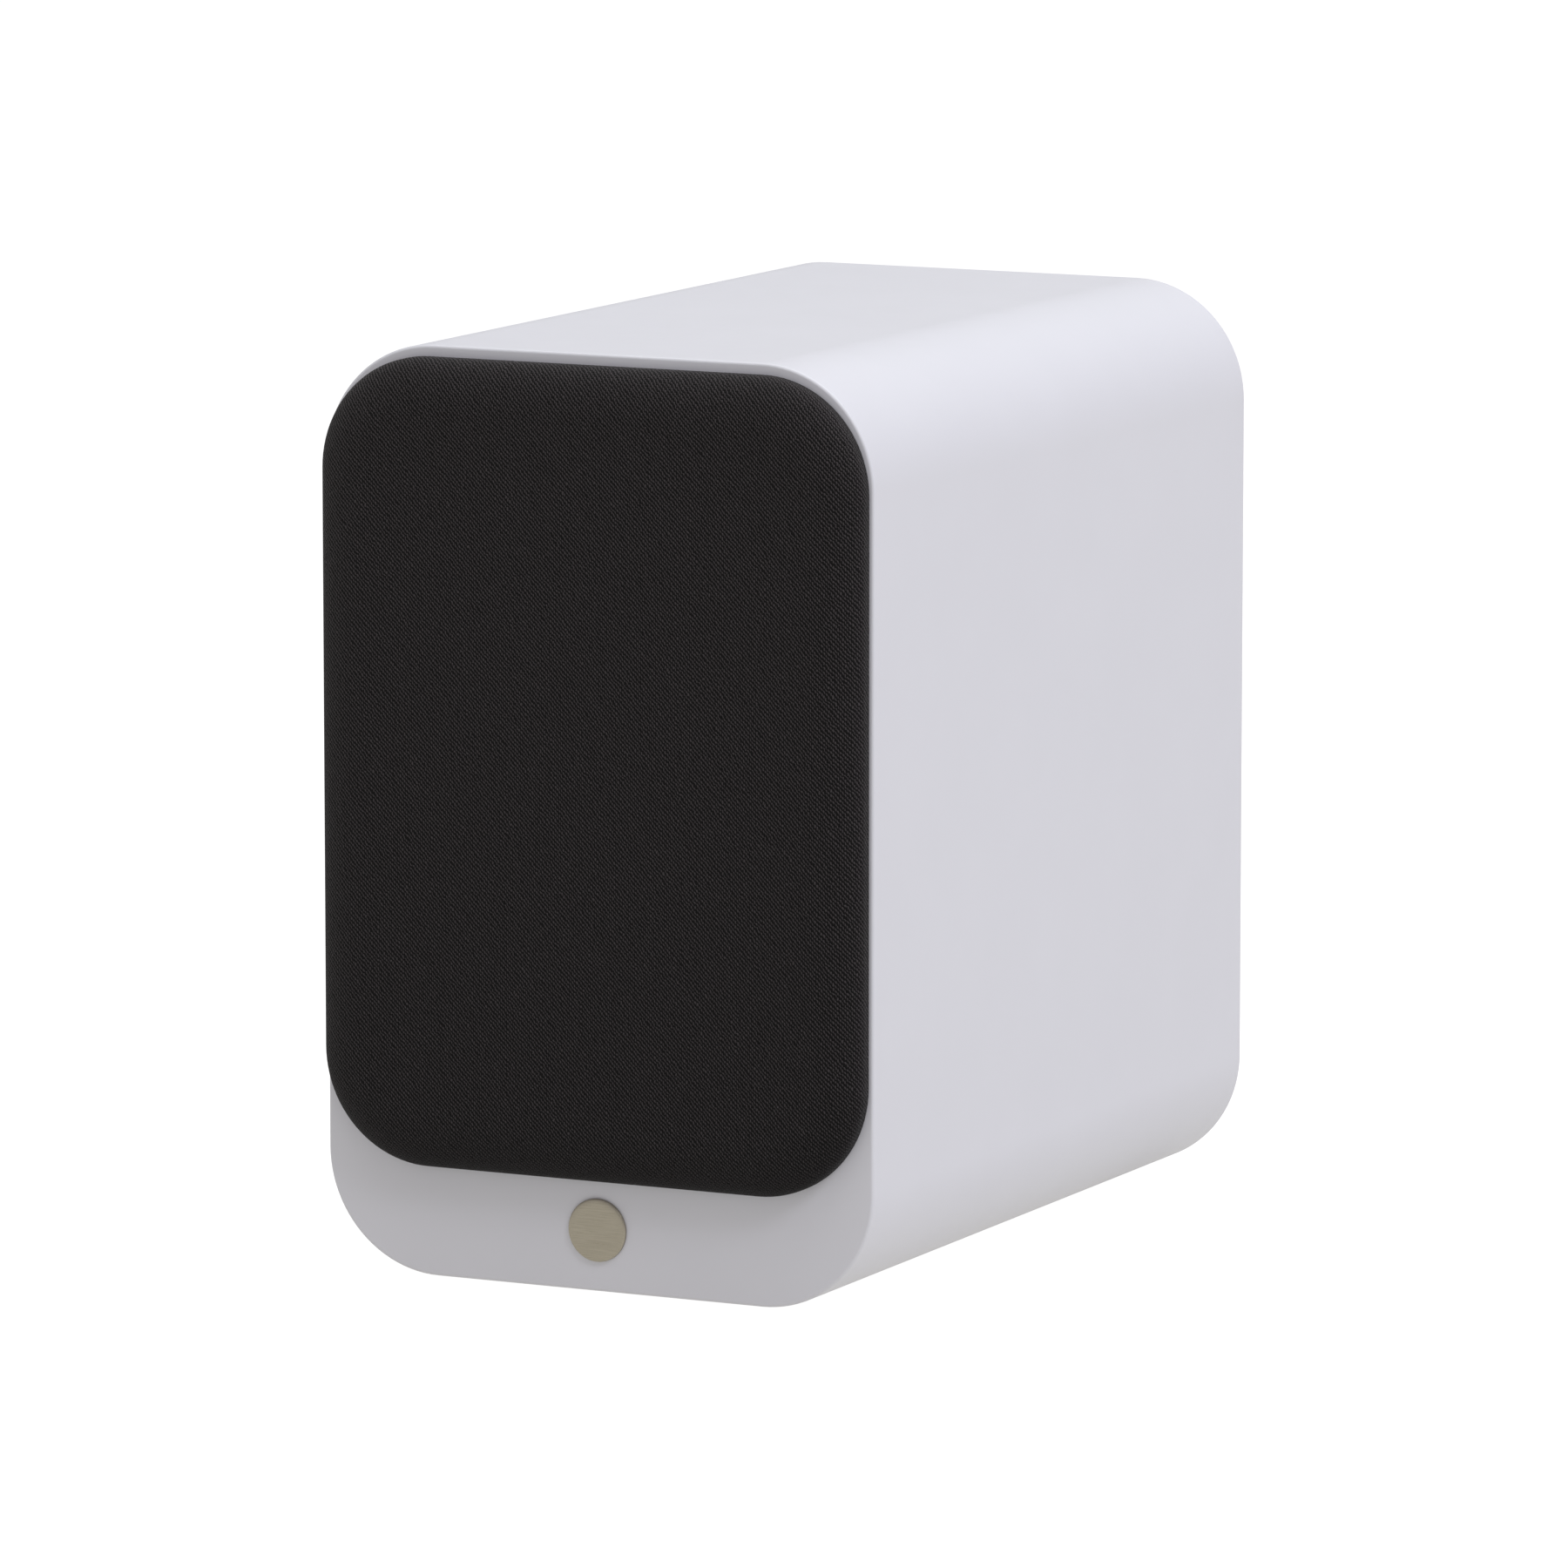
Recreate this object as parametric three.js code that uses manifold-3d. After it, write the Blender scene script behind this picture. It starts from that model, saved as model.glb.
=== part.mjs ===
// A two-way bookshelf speaker, in millimetres, +Z up, with its front facing -Y.
// Inside the nested groups Y = 0 is the face of the front baffle and Z = 0 is the surface it stands on.
// The outermost group then moves the whole speaker to the middle of its own footprint.
import * as THREE from "three";
import { mergeVertices } from "three/addons/utils/BufferGeometryUtils.js";
import Module from "manifold-3d";

const wasm = await Module();
wasm.setup();

// ---------------------------------------------------------------- driving dimensions

const GAP = 0.3; // clearance left between pieces that touch
const CABINET = { width: 183.2, height: 283, depth: 269, radius: 37, wall: 15, easedEdge: 1 };
const FOOT = { height: 3, radius: 9, x: 40, fromFront: 32, fromRear: 32 };
const GRILLE = {
  sideInset: 1.33,
  topInset: 3.37,
  bottomInset: 34.2,
  radius: 34.8,
  depth: 11, // how far it stands in front of the baffle
  side: 3, // straight part of its side, next to the baffle
  roll: 16, // width of its rolled front edge
  cloth: 0.8,
  rim: { side: 18, top: 18, bottom: 15 },
};
const BAFFLE = { thickness: 18, underGrille: 4 };
const FRONT_WALL = 16;
const REAR = { thickness: 15, recess: 4 };
const BRACE = { front: 118, thickness: 12, windowWidth: 110, windowHeight: 92 };
const WOOFER = { z: 130, trimRadius: 70, flangeRadius: 67.3, rebate: 4.8, hole: 59, screwCircle: 63.6 };
const TWEETER = { z: 228, plateRadius: 27.6, rebate: 3.3, hole: 22, screwCircle: 24.4 };
const MAGNET = { radius: 4, thickness: 4, x: 52, top: 271, bottom: 46.8 };
const BADGE = { radius: 9.6, thickness: 1.2, aboveBase: 18.8 };
const PORT = { z: 214, bore: 24, wall: 2, length: 105, flare: 13, flareDepth: 21, flangeRadius: 40.5 };
const TERMINALS = {
  z: 80,
  width: 92,
  height: 70,
  corner: 6,
  rim: 12, // width of the flange round the mouth
  recess: 21,
  spacing: 19,
  flange: 1.9,
  screwInset: 4.5,
};
const POST = { threadRadius: 3, socketRadius: 2, knobRadius: 7.8, knobLength: 13.9 };

const ARC_STEPS = 6; // facets in a rounded corner
const FINE = 24; // facets round the woofer and the port
const MEDIUM = 16; // facets round the tweeter
const COARSE = 8; // facets round screws, magnets and other small turned pieces

// ---------------------------------------------------------------- shared outlines

// A rounded rectangle seen from the front: its centre (x, z), width, height and corner radius.
const inset = (o, side, top = side, bottom = side) => ({
  x: o.x,
  z: o.z + (bottom - top) / 2,
  width: o.width - 2 * side,
  height: o.height - top - bottom,
  radius: Math.max(o.radius - side, 1),
});
const OUTER = {
  x: 0,
  z: FOOT.height + CABINET.height / 2,
  width: CABINET.width,
  height: CABINET.height,
  radius: CABINET.radius,
};
const CAVITY = inset(OUTER, CABINET.wall);
const GRILLE_EDGE = {
  ...inset(OUTER, GRILLE.sideInset, GRILLE.topInset, GRILLE.bottomInset),
  radius: GRILLE.radius,
};
const OPENING = inset(GRILLE_EDGE, BAFFLE.underGrille);
const REAR_FACE = CABINET.depth - REAR.recess;
// Where the flanges of the port and the terminal cup sit on the rear panel.
const REAR_FLANGE = REAR_FACE + GAP;
const CUP_FRONT = REAR_FLANGE + TERMINALS.flange;
const CUP_FLOOR = CUP_FRONT - TERMINALS.recess;
const CUP_WALL = 2;

// ---------------------------------------------------------------- geometry helpers

// The points of a rounded rectangle at depth y, going round from the right side.
// Every rectangle gets the same number of points.
function ringPoints(outline, y) {
  const points = [];
  const reachX = outline.width / 2 - outline.radius;
  const reachZ = outline.height / 2 - outline.radius;
  for (let corner = 0; corner < 4; corner++) {
    const signX = corner === 0 || corner === 3 ? 1 : -1;
    const signZ = corner < 2 ? 1 : -1;
    for (let i = 0; i <= ARC_STEPS; i++) {
      const angle = ((corner + i / ARC_STEPS) * Math.PI) / 2;
      points.push(
        new THREE.Vector3(
          outline.x + signX * reachX + outline.radius * Math.cos(angle),
          y,
          outline.z + signZ * reachZ + outline.radius * Math.sin(angle),
        ),
      );
    }
  }
  return points;
}

// Turns the faces of a closed geometry outwards, whichever way its outline was drawn.
function facingOut(geometry) {
  const plain = geometry.index ? geometry.toNonIndexed() : geometry;
  const p = plain.getAttribute("position");
  const [a, b, c] = [new THREE.Vector3(), new THREE.Vector3(), new THREE.Vector3()];
  let volume = 0;
  for (let i = 0; i < p.count; i += 3) {
    volume += a
      .fromBufferAttribute(p, i)
      .dot(b.fromBufferAttribute(p, i + 1).cross(c.fromBufferAttribute(p, i + 2)));
  }
  const out = new THREE.BufferGeometry().setAttribute("position", p);
  if (volume < 0) {
    for (let i = 0; i < p.count; i += 3) {
      b.fromBufferAttribute(p, i + 1);
      c.fromBufferAttribute(p, i + 2);
      p.setXYZ(i + 1, c.x, c.y, c.z);
      p.setXYZ(i + 2, b.x, b.y, b.z);
    }
  }
  out.computeVertexNormals();
  return out;
}

// A closed solid through successive rounded rectangles, each [outline, y].
// With loop the last ring joins the first, as in a frame; otherwise flat caps close both ends.
function loft(sections, loop = false) {
  const rings = sections.map(([outline, y]) => ringPoints(outline, y));
  const position = [];
  const triangle = (...points) => points.forEach((v) => position.push(v.x, v.y, v.z));
  const count = rings[0].length;
  const spans = loop ? rings.length : rings.length - 1;
  for (let s = 0; s < spans; s++) {
    const near = rings[s];
    const far = rings[(s + 1) % rings.length];
    for (let i = 0; i < count; i++) {
      const j = (i + 1) % count;
      triangle(near[i], far[i], far[j]);
      triangle(near[i], far[j], near[j]);
    }
  }
  if (!loop) {
    for (const [ring, [outline, y], turn] of [
      [rings[0], sections[0], false],
      [rings.at(-1), sections.at(-1), true],
    ]) {
      const middle = new THREE.Vector3(outline.x, y, outline.z);
      for (let i = 0; i < count; i++) {
        const j = (i + 1) % count;
        if (turn) triangle(middle, ring[j], ring[i]);
        else triangle(middle, ring[i], ring[j]);
      }
    }
  }
  const geometry = new THREE.BufferGeometry();
  geometry.setAttribute("position", new THREE.Float32BufferAttribute(position, 3));
  return facingOut(geometry);
}

// A straight prism of one outline between two depths.
const slab = (outline, front, back) =>
  loft([
    [outline, front],
    [outline, back],
  ]);

// A piece turned about the Y axis, from [radius, y] points that end on the axis or close on themselves.
function turned(profile, segments) {
  const points = profile.map(([r, y]) => new THREE.Vector2(r, y));
  if (points[0].x > 0) points.push(points[0].clone());
  return facingOut(new THREE.LatheGeometry(points, segments));
}

// A straight round bar or bore along Y.
const bar = (radius, front, back, segments = COARSE) =>
  turned(
    [
      [0, front],
      [radius, front],
      [radius, back],
      [0, back],
    ],
    segments,
  );

// A ring of rectangular section.
const washer = (inner, outer, front, back, segments) =>
  turned(
    [
      [inner, front],
      [outer, front],
      [outer, back],
      [inner, back],
    ],
    segments,
  );

// A pan-head screw that enters along +Y: its head starts at front, and its point is a short cone.
const screw = (headRadius, headHeight, shankRadius, front, length) =>
  turned(
    [
      [0, front],
      [headRadius * 0.8, front],
      [headRadius, front + headHeight * 0.4],
      [headRadius, front + headHeight],
      [shankRadius, front + headHeight],
      [shankRadius, front + length - 2],
      [0, front + length],
    ],
    COARSE,
  );

const at = (geometry, x, y, z) => geometry.clone().translate(x, y, z);

function solidOf(geometry) {
  const plain = geometry.index ? geometry.toNonIndexed() : geometry;
  const bare = new THREE.BufferGeometry();
  bare.setAttribute("position", plain.getAttribute("position"));
  const merged = mergeVertices(bare, 1e-4);
  return new wasm.Manifold(
    new wasm.Mesh({
      numProp: 3,
      vertProperties: merged.attributes.position.array,
      triVerts: new Uint32Array(merged.index.array),
    }),
  );
}

function cut(body, tools) {
  let solid = solidOf(body);
  for (const tool of tools) solid = solid.subtract(solidOf(tool));
  const mesh = solid.getMesh();
  const geometry = new THREE.BufferGeometry();
  geometry.setAttribute("position", new THREE.BufferAttribute(mesh.vertProperties, 3));
  geometry.setIndex(new THREE.BufferAttribute(mesh.triVerts, 1));
  return facingOut(geometry);
}

// Evenly spread [x, z] places on a circle, the first at startDegrees from +X.
const onCircle = (radius, count, startDegrees) =>
  Array.from({ length: count }, (_, i) => {
    const angle = THREE.MathUtils.degToRad(startDegrees + (360 / count) * i);
    return [radius * Math.cos(angle), radius * Math.sin(angle)];
  });

// The four [name, x, z] corners of a rectangle about a middle.
const corners = (x, top, bottom) => [
  ["top_left", -x, top],
  ["top_right", x, top],
  ["bottom_left", -x, bottom],
  ["bottom_right", x, bottom],
];

// ---------------------------------------------------------------- finishes

const finish = (color, roughness, metalness = 0) =>
  new THREE.MeshStandardMaterial({ color, roughness, metalness });
const WHITE_LACQUER = finish(0xe2e3ea, 0.38);
const BOARD = finish(0xb79a74, 0.8);
const BLACK_PAINT = finish(0x1d1d1f, 0.6);
const BLACK_PLASTIC = finish(0x222224, 0.5);
const CLOTH = finish(0x2a2827, 0.95);
const RUBBER = finish(0x1a1a1a, 0.85);
const NICKEL = finish(0x989280, 0.35, 1);
const STEEL = finish(0x9a9da0, 0.35, 1);
const FERRITE = finish(0x2e2e30, 0.7);
const CONE = finish(0x303236, 0.55);
const SILK = finish(0x202022, 0.6);
const SPIDER_CLOTH = finish(0xb0813f, 0.9);
const COPPER = finish(0xb0673a, 0.4, 1);
const BRASS = finish(0xb79a55, 0.3, 1);
const RED_PLASTIC = finish(0xa81e22, 0.4);
const CIRCUIT = finish(0x2c5a3a, 0.6);
const CERAMIC = finish(0xe4e0d6, 0.7);
const FIBRE = finish(0xe8e8e4, 0.95);
const CABLE = finish(0x5a1f1f, 0.6);

// ---------------------------------------------------------------- cabinet

function cabinetShell() {
  const e = CABINET.easedEdge;
  const body = loft([
    [inset(OUTER, e), 0],
    [inset(OUTER, e * 0.3), e * 0.3],
    [OUTER, e],
    [OUTER, CABINET.depth - e],
    [inset(OUTER, e), CABINET.depth],
  ]);
  const hollow = slab(CAVITY, FRONT_WALL, CABINET.depth + 1);
  return cut(body, [hollow, slab(OPENING, -1, BAFFLE.thickness)]);
}

const WOOFER_SCREWS = onCircle(WOOFER.screwCircle, 4, 45);
const TWEETER_SCREWS = onCircle(TWEETER.screwCircle, 3, 90);
const MAGNET_PLACES = corners(MAGNET.x, MAGNET.top, MAGNET.bottom);

function frontBaffle() {
  const pilot = (radius, depth) => bar(radius, 1, depth, 8);
  return cut(slab(inset(OPENING, GAP), 0, BAFFLE.thickness - GAP), [
    at(bar(WOOFER.hole, -1, BAFFLE.thickness + 1, FINE), 0, 0, WOOFER.z),
    at(bar(WOOFER.flangeRadius + 0.5, -1, WOOFER.rebate, FINE), 0, 0, WOOFER.z),
    at(bar(TWEETER.hole, -1, BAFFLE.thickness + 1, MEDIUM), 0, 0, TWEETER.z),
    at(bar(TWEETER.plateRadius + 0.4, -1, TWEETER.rebate, MEDIUM), 0, 0, TWEETER.z),
    ...WOOFER_SCREWS.map(([x, z]) => at(pilot(2, 15.5), x, 0, WOOFER.z + z)),
    ...TWEETER_SCREWS.map(([x, z]) => at(pilot(1.7, 13.5), x, 0, TWEETER.z + z)),
    ...MAGNET_PLACES.map(([, x, z]) =>
      at(bar(MAGNET.radius + GAP, -1, MAGNET.thickness + 2 * GAP), x, 0, z),
    ),
  ]);
}

const CUP_SCREW_Z = TERMINALS.height / 2 - TERMINALS.screwInset;
const CUP_SCREWS = corners(TERMINALS.width / 2 - TERMINALS.screwInset, CUP_SCREW_Z, -CUP_SCREW_Z);
const CUP_EDGE = {
  x: 0,
  z: 0,
  width: TERMINALS.width,
  height: TERMINALS.height,
  radius: TERMINALS.corner,
};
const CUP_MOUTH = inset(CUP_EDGE, TERMINALS.rim);

function rearPanel() {
  const front = REAR_FACE - REAR.thickness;
  const cupHole = inset(CUP_MOUTH, -CUP_WALL - 0.5);
  const pilot = bar(1.7, REAR_FACE - 12, REAR_FACE + 1, COARSE);
  return cut(slab(inset(CAVITY, GAP), front, REAR_FACE), [
    at(bar(PORT.bore + PORT.flare - 2, front - 1, REAR_FACE + 1, FINE), 0, 0, PORT.z),
    at(slab(cupHole, front - 1, REAR_FACE + 1), 0, 0, TERMINALS.z),
    ...CUP_SCREWS.map(([, x, z]) => at(pilot, x, 0, TERMINALS.z + z)),
  ]);
}

function windowBrace() {
  const back = BRACE.front + BRACE.thickness;
  const window = { x: 0, width: BRACE.windowWidth, height: BRACE.windowHeight, radius: 20 };
  const windows = [-1, 1].map((side) => {
    const z = OUTER.z + side * (BRACE.windowHeight / 2 + 12);
    return slab({ ...window, z }, BRACE.front - 1, back + 1);
  });
  return cut(slab(inset(CAVITY, GAP), BRACE.front, back), windows);
}

function foot() {
  const top = FOOT.height - GAP;
  return turned(
    [
      [0, 0],
      [FOOT.radius - 0.6, 0],
      [FOOT.radius, 0.6],
      [FOOT.radius, top],
      [0, top],
    ],
    2 * COARSE,
  ).rotateX(Math.PI / 2);
}

// A plain round badge with a raised, slightly domed face. It carries no mark.
function badge() {
  const back = -0.1;
  return turned(
    [
      [0, -BADGE.thickness],
      [BADGE.radius * 0.6, -BADGE.thickness * 0.96],
      [BADGE.radius - 0.5, -BADGE.thickness * 0.85],
      [BADGE.radius, -BADGE.thickness * 0.5],
      [BADGE.radius, back],
      [0, back],
    ],
    FINE,
  );
}

// The batt of wadding behind the woofer: a soft block with rounded ends.
function wadding() {
  const batt = { x: 0, z: 112, width: 84, height: 112, radius: 14 };
  return loft([
    [inset(batt, 8), 148],
    [inset(batt, 2), 152],
    [batt, 160],
    [batt, 194],
    [inset(batt, 2), 202],
    [inset(batt, 8), 206],
  ]);
}

// ---------------------------------------------------------------- grille

// The rolled outer edge of the grille, as [outline, y] rings from the baffle to the front.
// offset is how far inside the cloth's outer surface the edge lies.
function rolledEdge(offset, steps) {
  const rings = [[inset(GRILLE_EDGE, offset), -0.5]];
  const rollWidth = GRILLE.roll - offset;
  const rollDepth = GRILLE.depth - offset - GRILLE.side;
  for (let i = 0; i <= steps; i++) {
    const angle = ((i / steps) * Math.PI) / 2;
    rings.push([
      inset(GRILLE_EDGE, offset + rollWidth * (1 - Math.cos(angle))),
      -GRILLE.side - rollDepth * Math.sin(angle),
    ]);
  }
  return rings;
}

const STRIP = { width: 2 * MAGNET.x + 12, height: 9, thickness: 1.2, radius: 2 };
const stripOutline = (z, spare) => ({
  x: 0,
  z,
  width: STRIP.width + spare,
  height: STRIP.height + spare,
  radius: STRIP.radius,
});
const STRIP_FRONT = -0.5 - GAP - STRIP.thickness;

function grilleFrame() {
  const edge = rolledEdge(GRILLE.cloth + GAP, 4);
  const window = inset(GRILLE_EDGE, GRILLE.rim.side, GRILLE.rim.top, GRILLE.rim.bottom);
  const frame = loft([...edge, [window, edge.at(-1)[1]], [window, edge[0][1]]], true);
  return cut(
    frame,
    [MAGNET.top, MAGNET.bottom].map((z) => slab(stripOutline(z, 2 * GAP), STRIP_FRONT - GAP, 0)),
  );
}

const grilleStrip = (z) => slab(stripOutline(z, 0), STRIP_FRONT, STRIP_FRONT + STRIP.thickness);

const grilleCloth = () => loft([...rolledEdge(GRILLE.cloth, 4).reverse(), ...rolledEdge(0, 4)]);

// ---------------------------------------------------------------- woofer, about its own axis

const FLANGE_FRONT = 1.5;
const SURROUND = { inner: 50, outer: 57.2, thickness: 0.8, rim: 60.5, lip: 47.5 };
const CONE_EDGE = { radius: 50, y: 1.5 };
const NECK = { radius: 13.2, y: 25 };
const COIL = { inner: 12.2, outer: 12.9 };
const LEDGE = 37.2; // depth of the basket's ledge that carries the spider
const MOTOR_FRONT = 45.1;
const PLATE_THICKNESS = 5;
const MAGNET_DEPTH = 15;

function wooferBasket() {
  const basket = turned(
    [
      [56.6, FLANGE_FRONT],
      [WOOFER.flangeRadius, FLANGE_FRONT],
      [WOOFER.flangeRadius, FLANGE_FRONT + 3],
      [58.4, FLANGE_FRONT + 3],
      [57.5, 17],
      [44, 42],
      [38, MOTOR_FRONT - GAP],
      [16, MOTOR_FRONT - GAP],
      [16, 42.6],
      [37.5, 42.6],
      [37.5, LEDGE],
      [44.5, LEDGE],
      [55.3, 17],
      [56.6, 4.5],
    ],
    FINE,
  );
  const window = new THREE.BoxGeometry(34, 15, 40).translate(0, 26.5, 52);
  const windows = Array.from({ length: 6 }, (_, i) => window.clone().rotateY((i * Math.PI) / 3));
  const screwHoles = WOOFER_SCREWS.map(([x, z]) => at(bar(2, 0, 8, 8), x, 0, z));
  return cut(basket, [...windows, ...screwHoles]);
}

const wooferTrimRing = () =>
  turned(
    [
      [59.5, -GAP],
      [WOOFER.trimRadius, -GAP],
      [WOOFER.trimRadius, -1.4],
      [WOOFER.trimRadius - 1, -2.2],
      [61.2, -2.2],
      [59.5, -1.2],
    ],
    FINE,
  );

// A half roll of rubber with a flat rim outside and a flat lip inside.
function halfRoll({ inner, outer, thickness, rim, lip }, y, steps, segments) {
  const middle = (inner + outer) / 2;
  const radius = (outer - inner) / 2;
  const arc = (r, base) =>
    Array.from({ length: steps + 1 }, (_, i) => {
      const angle = (i / steps) * Math.PI;
      return [middle + r * Math.cos(angle), base - r * Math.sin(angle)];
    });
  return turned(
    [
      [rim, y],
      ...arc(radius, y),
      [lip, y],
      [lip, y + thickness],
      ...arc(radius - thickness, y + thickness).reverse(),
      [rim, y + thickness],
    ],
    segments,
  );
}

// Depth of the cone's front surface at a radius: steep at the neck and flatter at the edge.
function coneDepth(radius) {
  const share = (radius - NECK.radius) / (CONE_EDGE.radius - 3 - NECK.radius);
  return CONE_EDGE.y + (NECK.y - CONE_EDGE.y) * (1 - share) ** 1.2;
}

function wooferCone() {
  const steps = 5;
  const front = Array.from({ length: steps + 1 }, (_, i) => {
    const radius = NECK.radius + ((CONE_EDGE.radius - 3 - NECK.radius) * i) / steps;
    return [radius, coneDepth(radius)];
  });
  const back = front.map(([r, y]) => [r, y + 1.2]).reverse();
  return turned(
    [...front, [CONE_EDGE.radius, CONE_EDGE.y], [CONE_EDGE.radius, CONE_EDGE.y + 1.2], ...back],
    FINE,
  );
}

// A shallow domed cap with its middle towards the listener.
function domedCap(radius, edge, apex, thickness, steps, segments) {
  const arc = (r, e, a) =>
    Array.from({ length: steps + 1 }, (_, i) => {
      const share = i / steps;
      return [r * share, a + (e - a) * share ** 2];
    });
  return turned(
    [...arc(radius, edge, apex), ...arc(radius - thickness, edge + 0.2, apex + thickness).reverse()],
    segments,
  );
}

const wooferDustCap = () => domedCap(19, 19.4, 12.5, 0.8, 4, MEDIUM);
const wooferVoiceCoil = () => washer(COIL.inner, COIL.outer, 24.5, 52, FINE);

function wooferSpider() {
  const steps = 8;
  const y = LEDGE - GAP - 0.8;
  const front = Array.from({ length: steps + 1 }, (_, i) => [
    13.3 + (29.5 * i) / steps,
    i % 2 === 1 ? y - 1.2 : y,
  ]);
  return turned([...front, ...front.map(([r, d]) => [r, d + 0.8]).reverse()], MEDIUM);
}

const wooferTopPlate = () => washer(13.4, 36, MOTOR_FRONT, MOTOR_FRONT + PLATE_THICKNESS, FINE);
const FERRITE_FRONT = MOTOR_FRONT + PLATE_THICKNESS + GAP;
const wooferMagnet = () => washer(20, 42.5, FERRITE_FRONT, FERRITE_FRONT + MAGNET_DEPTH, FINE);

function wooferYoke() {
  const plate = FERRITE_FRONT + MAGNET_DEPTH + GAP;
  return turned(
    [
      [0, MOTOR_FRONT + 0.4],
      [11.8, MOTOR_FRONT + 0.4],
      [11.8, plate],
      [36, plate],
      [36, plate + PLATE_THICKNESS],
      [0, plate + PLATE_THICKNESS],
    ],
    FINE,
  );
}

// ---------------------------------------------------------------- tweeter, about its own axis

const DOME = { radius: 12.4, edge: 3.2, apex: -1.5 };

function tweeterFaceplate() {
  const plate = turned(
    [
      [16.2, 1.2],
      [21, -0.8],
      [TWEETER.plateRadius - 0.8, -1],
      [TWEETER.plateRadius, -0.4],
      [TWEETER.plateRadius, TWEETER.rebate - GAP],
      [16.2, TWEETER.rebate - GAP],
    ],
    MEDIUM,
  );
  return cut(
    plate,
    TWEETER_SCREWS.map(([x, z]) => at(bar(1.7, -3, 5, 8), x, 0, z)),
  );
}

const tweeterSurround = () =>
  halfRoll({ inner: 13.3, outer: 16, thickness: 0.5, rim: 19, lip: 12.7 }, 3.3, 4, MEDIUM);
const tweeterDome = () => domedCap(DOME.radius, DOME.edge, DOME.apex, 0.5, 4, MEDIUM);
const tweeterVoiceCoil = () => washer(12.3, 12.9, 4.3, 11, MEDIUM);
const tweeterPolePlate = () => bar(11.8, 6, 10, MEDIUM);
const tweeterMagnet = () => bar(11, 10 + GAP, 18.3, MEDIUM);
const tweeterYoke = () =>
  turned(
    [
      [0, 18.6],
      [15.5, 18.6],
      [15.5, 10.4],
      [13.5, 10.4],
      [13.5, 5.6],
      [19.5, 5.6],
      [19.5, 24],
      [0, 24],
    ],
    MEDIUM,
  );

// ---------------------------------------------------------------- port and terminals

// A straight tube that opens into a quarter-round flare and ends in a thin flange.
function portTube() {
  const start = CUP_FRONT - PORT.length;
  const flareStart = CUP_FRONT - PORT.flareDepth;
  const steps = 5;
  const flare = (radius, reach) =>
    Array.from({ length: steps + 1 }, (_, i) => {
      const angle = ((i / steps) * reach * Math.PI) / 180;
      return [
        radius + PORT.flare * (1 - Math.cos(angle)),
        flareStart + PORT.flareDepth * Math.sin(angle),
      ];
    });
  const underFlange = THREE.MathUtils.radToDeg(Math.asin(1 - TERMINALS.flange / PORT.flareDepth));
  return turned(
    [
      [PORT.bore, start],
      ...flare(PORT.bore, 90),
      [PORT.flangeRadius, CUP_FRONT],
      [PORT.flangeRadius, REAR_FLANGE],
      ...flare(PORT.bore + PORT.wall, underFlange).reverse(),
      [PORT.bore + PORT.wall, start],
    ],
    FINE,
  );
}

const POST_PLACES = [
  ["red", TERMINALS.spacing / 2],
  ["black", -TERMINALS.spacing / 2],
];

function terminalCup() {
  const cup = loft([
    [inset(CUP_MOUTH, 1), CUP_FLOOR],
    [CUP_MOUTH, CUP_FRONT],
    [CUP_EDGE, CUP_FRONT],
    [CUP_EDGE, REAR_FLANGE],
    [inset(CUP_MOUTH, -CUP_WALL), REAR_FLANGE],
    [inset(CUP_MOUTH, 1 - CUP_WALL), CUP_FLOOR - CUP_WALL],
  ]);
  const through = (radius, x, z) => at(bar(radius, CUP_FLOOR - 5, CUP_FRONT + 5), x, 0, z);
  return cut(cup, [
    ...POST_PLACES.map(([, x]) => through(POST.threadRadius + GAP, x, 0)),
    ...CUP_SCREWS.map(([, x, z]) => through(1.9, x, z)),
  ]);
}

const COLLAR_BACK = CUP_FLOOR + 2;
const WASHER_FRONT = COLLAR_BACK + GAP;
const KNOB_FRONT = WASHER_FRONT + 1.1;

// A threaded stud with a collar against the cup, an axial plug socket and a solder tail inside.
const postStud = () =>
  turned(
    [
      [0, CUP_FLOOR + 3],
      [POST.socketRadius, CUP_FLOOR + 3],
      [POST.socketRadius, CUP_FRONT - 3],
      [POST.threadRadius, CUP_FRONT - 3],
      [POST.threadRadius, COLLAR_BACK],
      [5.5, COLLAR_BACK],
      [5.5, CUP_FLOOR + GAP],
      [POST.threadRadius, CUP_FLOOR + GAP],
      [POST.threadRadius, CUP_FLOOR - 3.5],
      [1.6, CUP_FLOOR - 3.5],
      [1.6, CUP_FLOOR - 12],
      [0, CUP_FLOOR - 12],
    ],
    COARSE,
  );

const postWasher = () =>
  washer(POST.threadRadius + 0.4, 6.5, WASHER_FRONT, WASHER_FRONT + 0.8, 2 * COARSE);

// A fluted knob with a plain bore for the stud.
function postKnob() {
  const flutes = 12;
  const outline = new THREE.Shape(
    Array.from({ length: 2 * flutes }, (_, i) => {
      const radius = POST.knobRadius - (i % 2) * 0.7;
      const angle = (i * Math.PI) / flutes;
      return new THREE.Vector2(radius * Math.cos(angle), radius * Math.sin(angle));
    }),
  );
  const bore = new THREE.Path().absarc(0, 0, POST.threadRadius + 0.4, 0, 2 * Math.PI, true);
  outline.holes.push(bore);
  const knob = new THREE.ExtrudeGeometry(outline, {
    depth: POST.knobLength,
    bevelEnabled: false,
    curveSegments: COARSE,
  });
  return facingOut(knob.rotateX(Math.PI / 2).translate(0, KNOB_FRONT + POST.knobLength, 0));
}

// ---------------------------------------------------------------- crossover and leads

const BOARD_BACK = CUP_FLOOR - 8.5;
const BOARD_FRONT = BOARD_BACK - 1.6;

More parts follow.
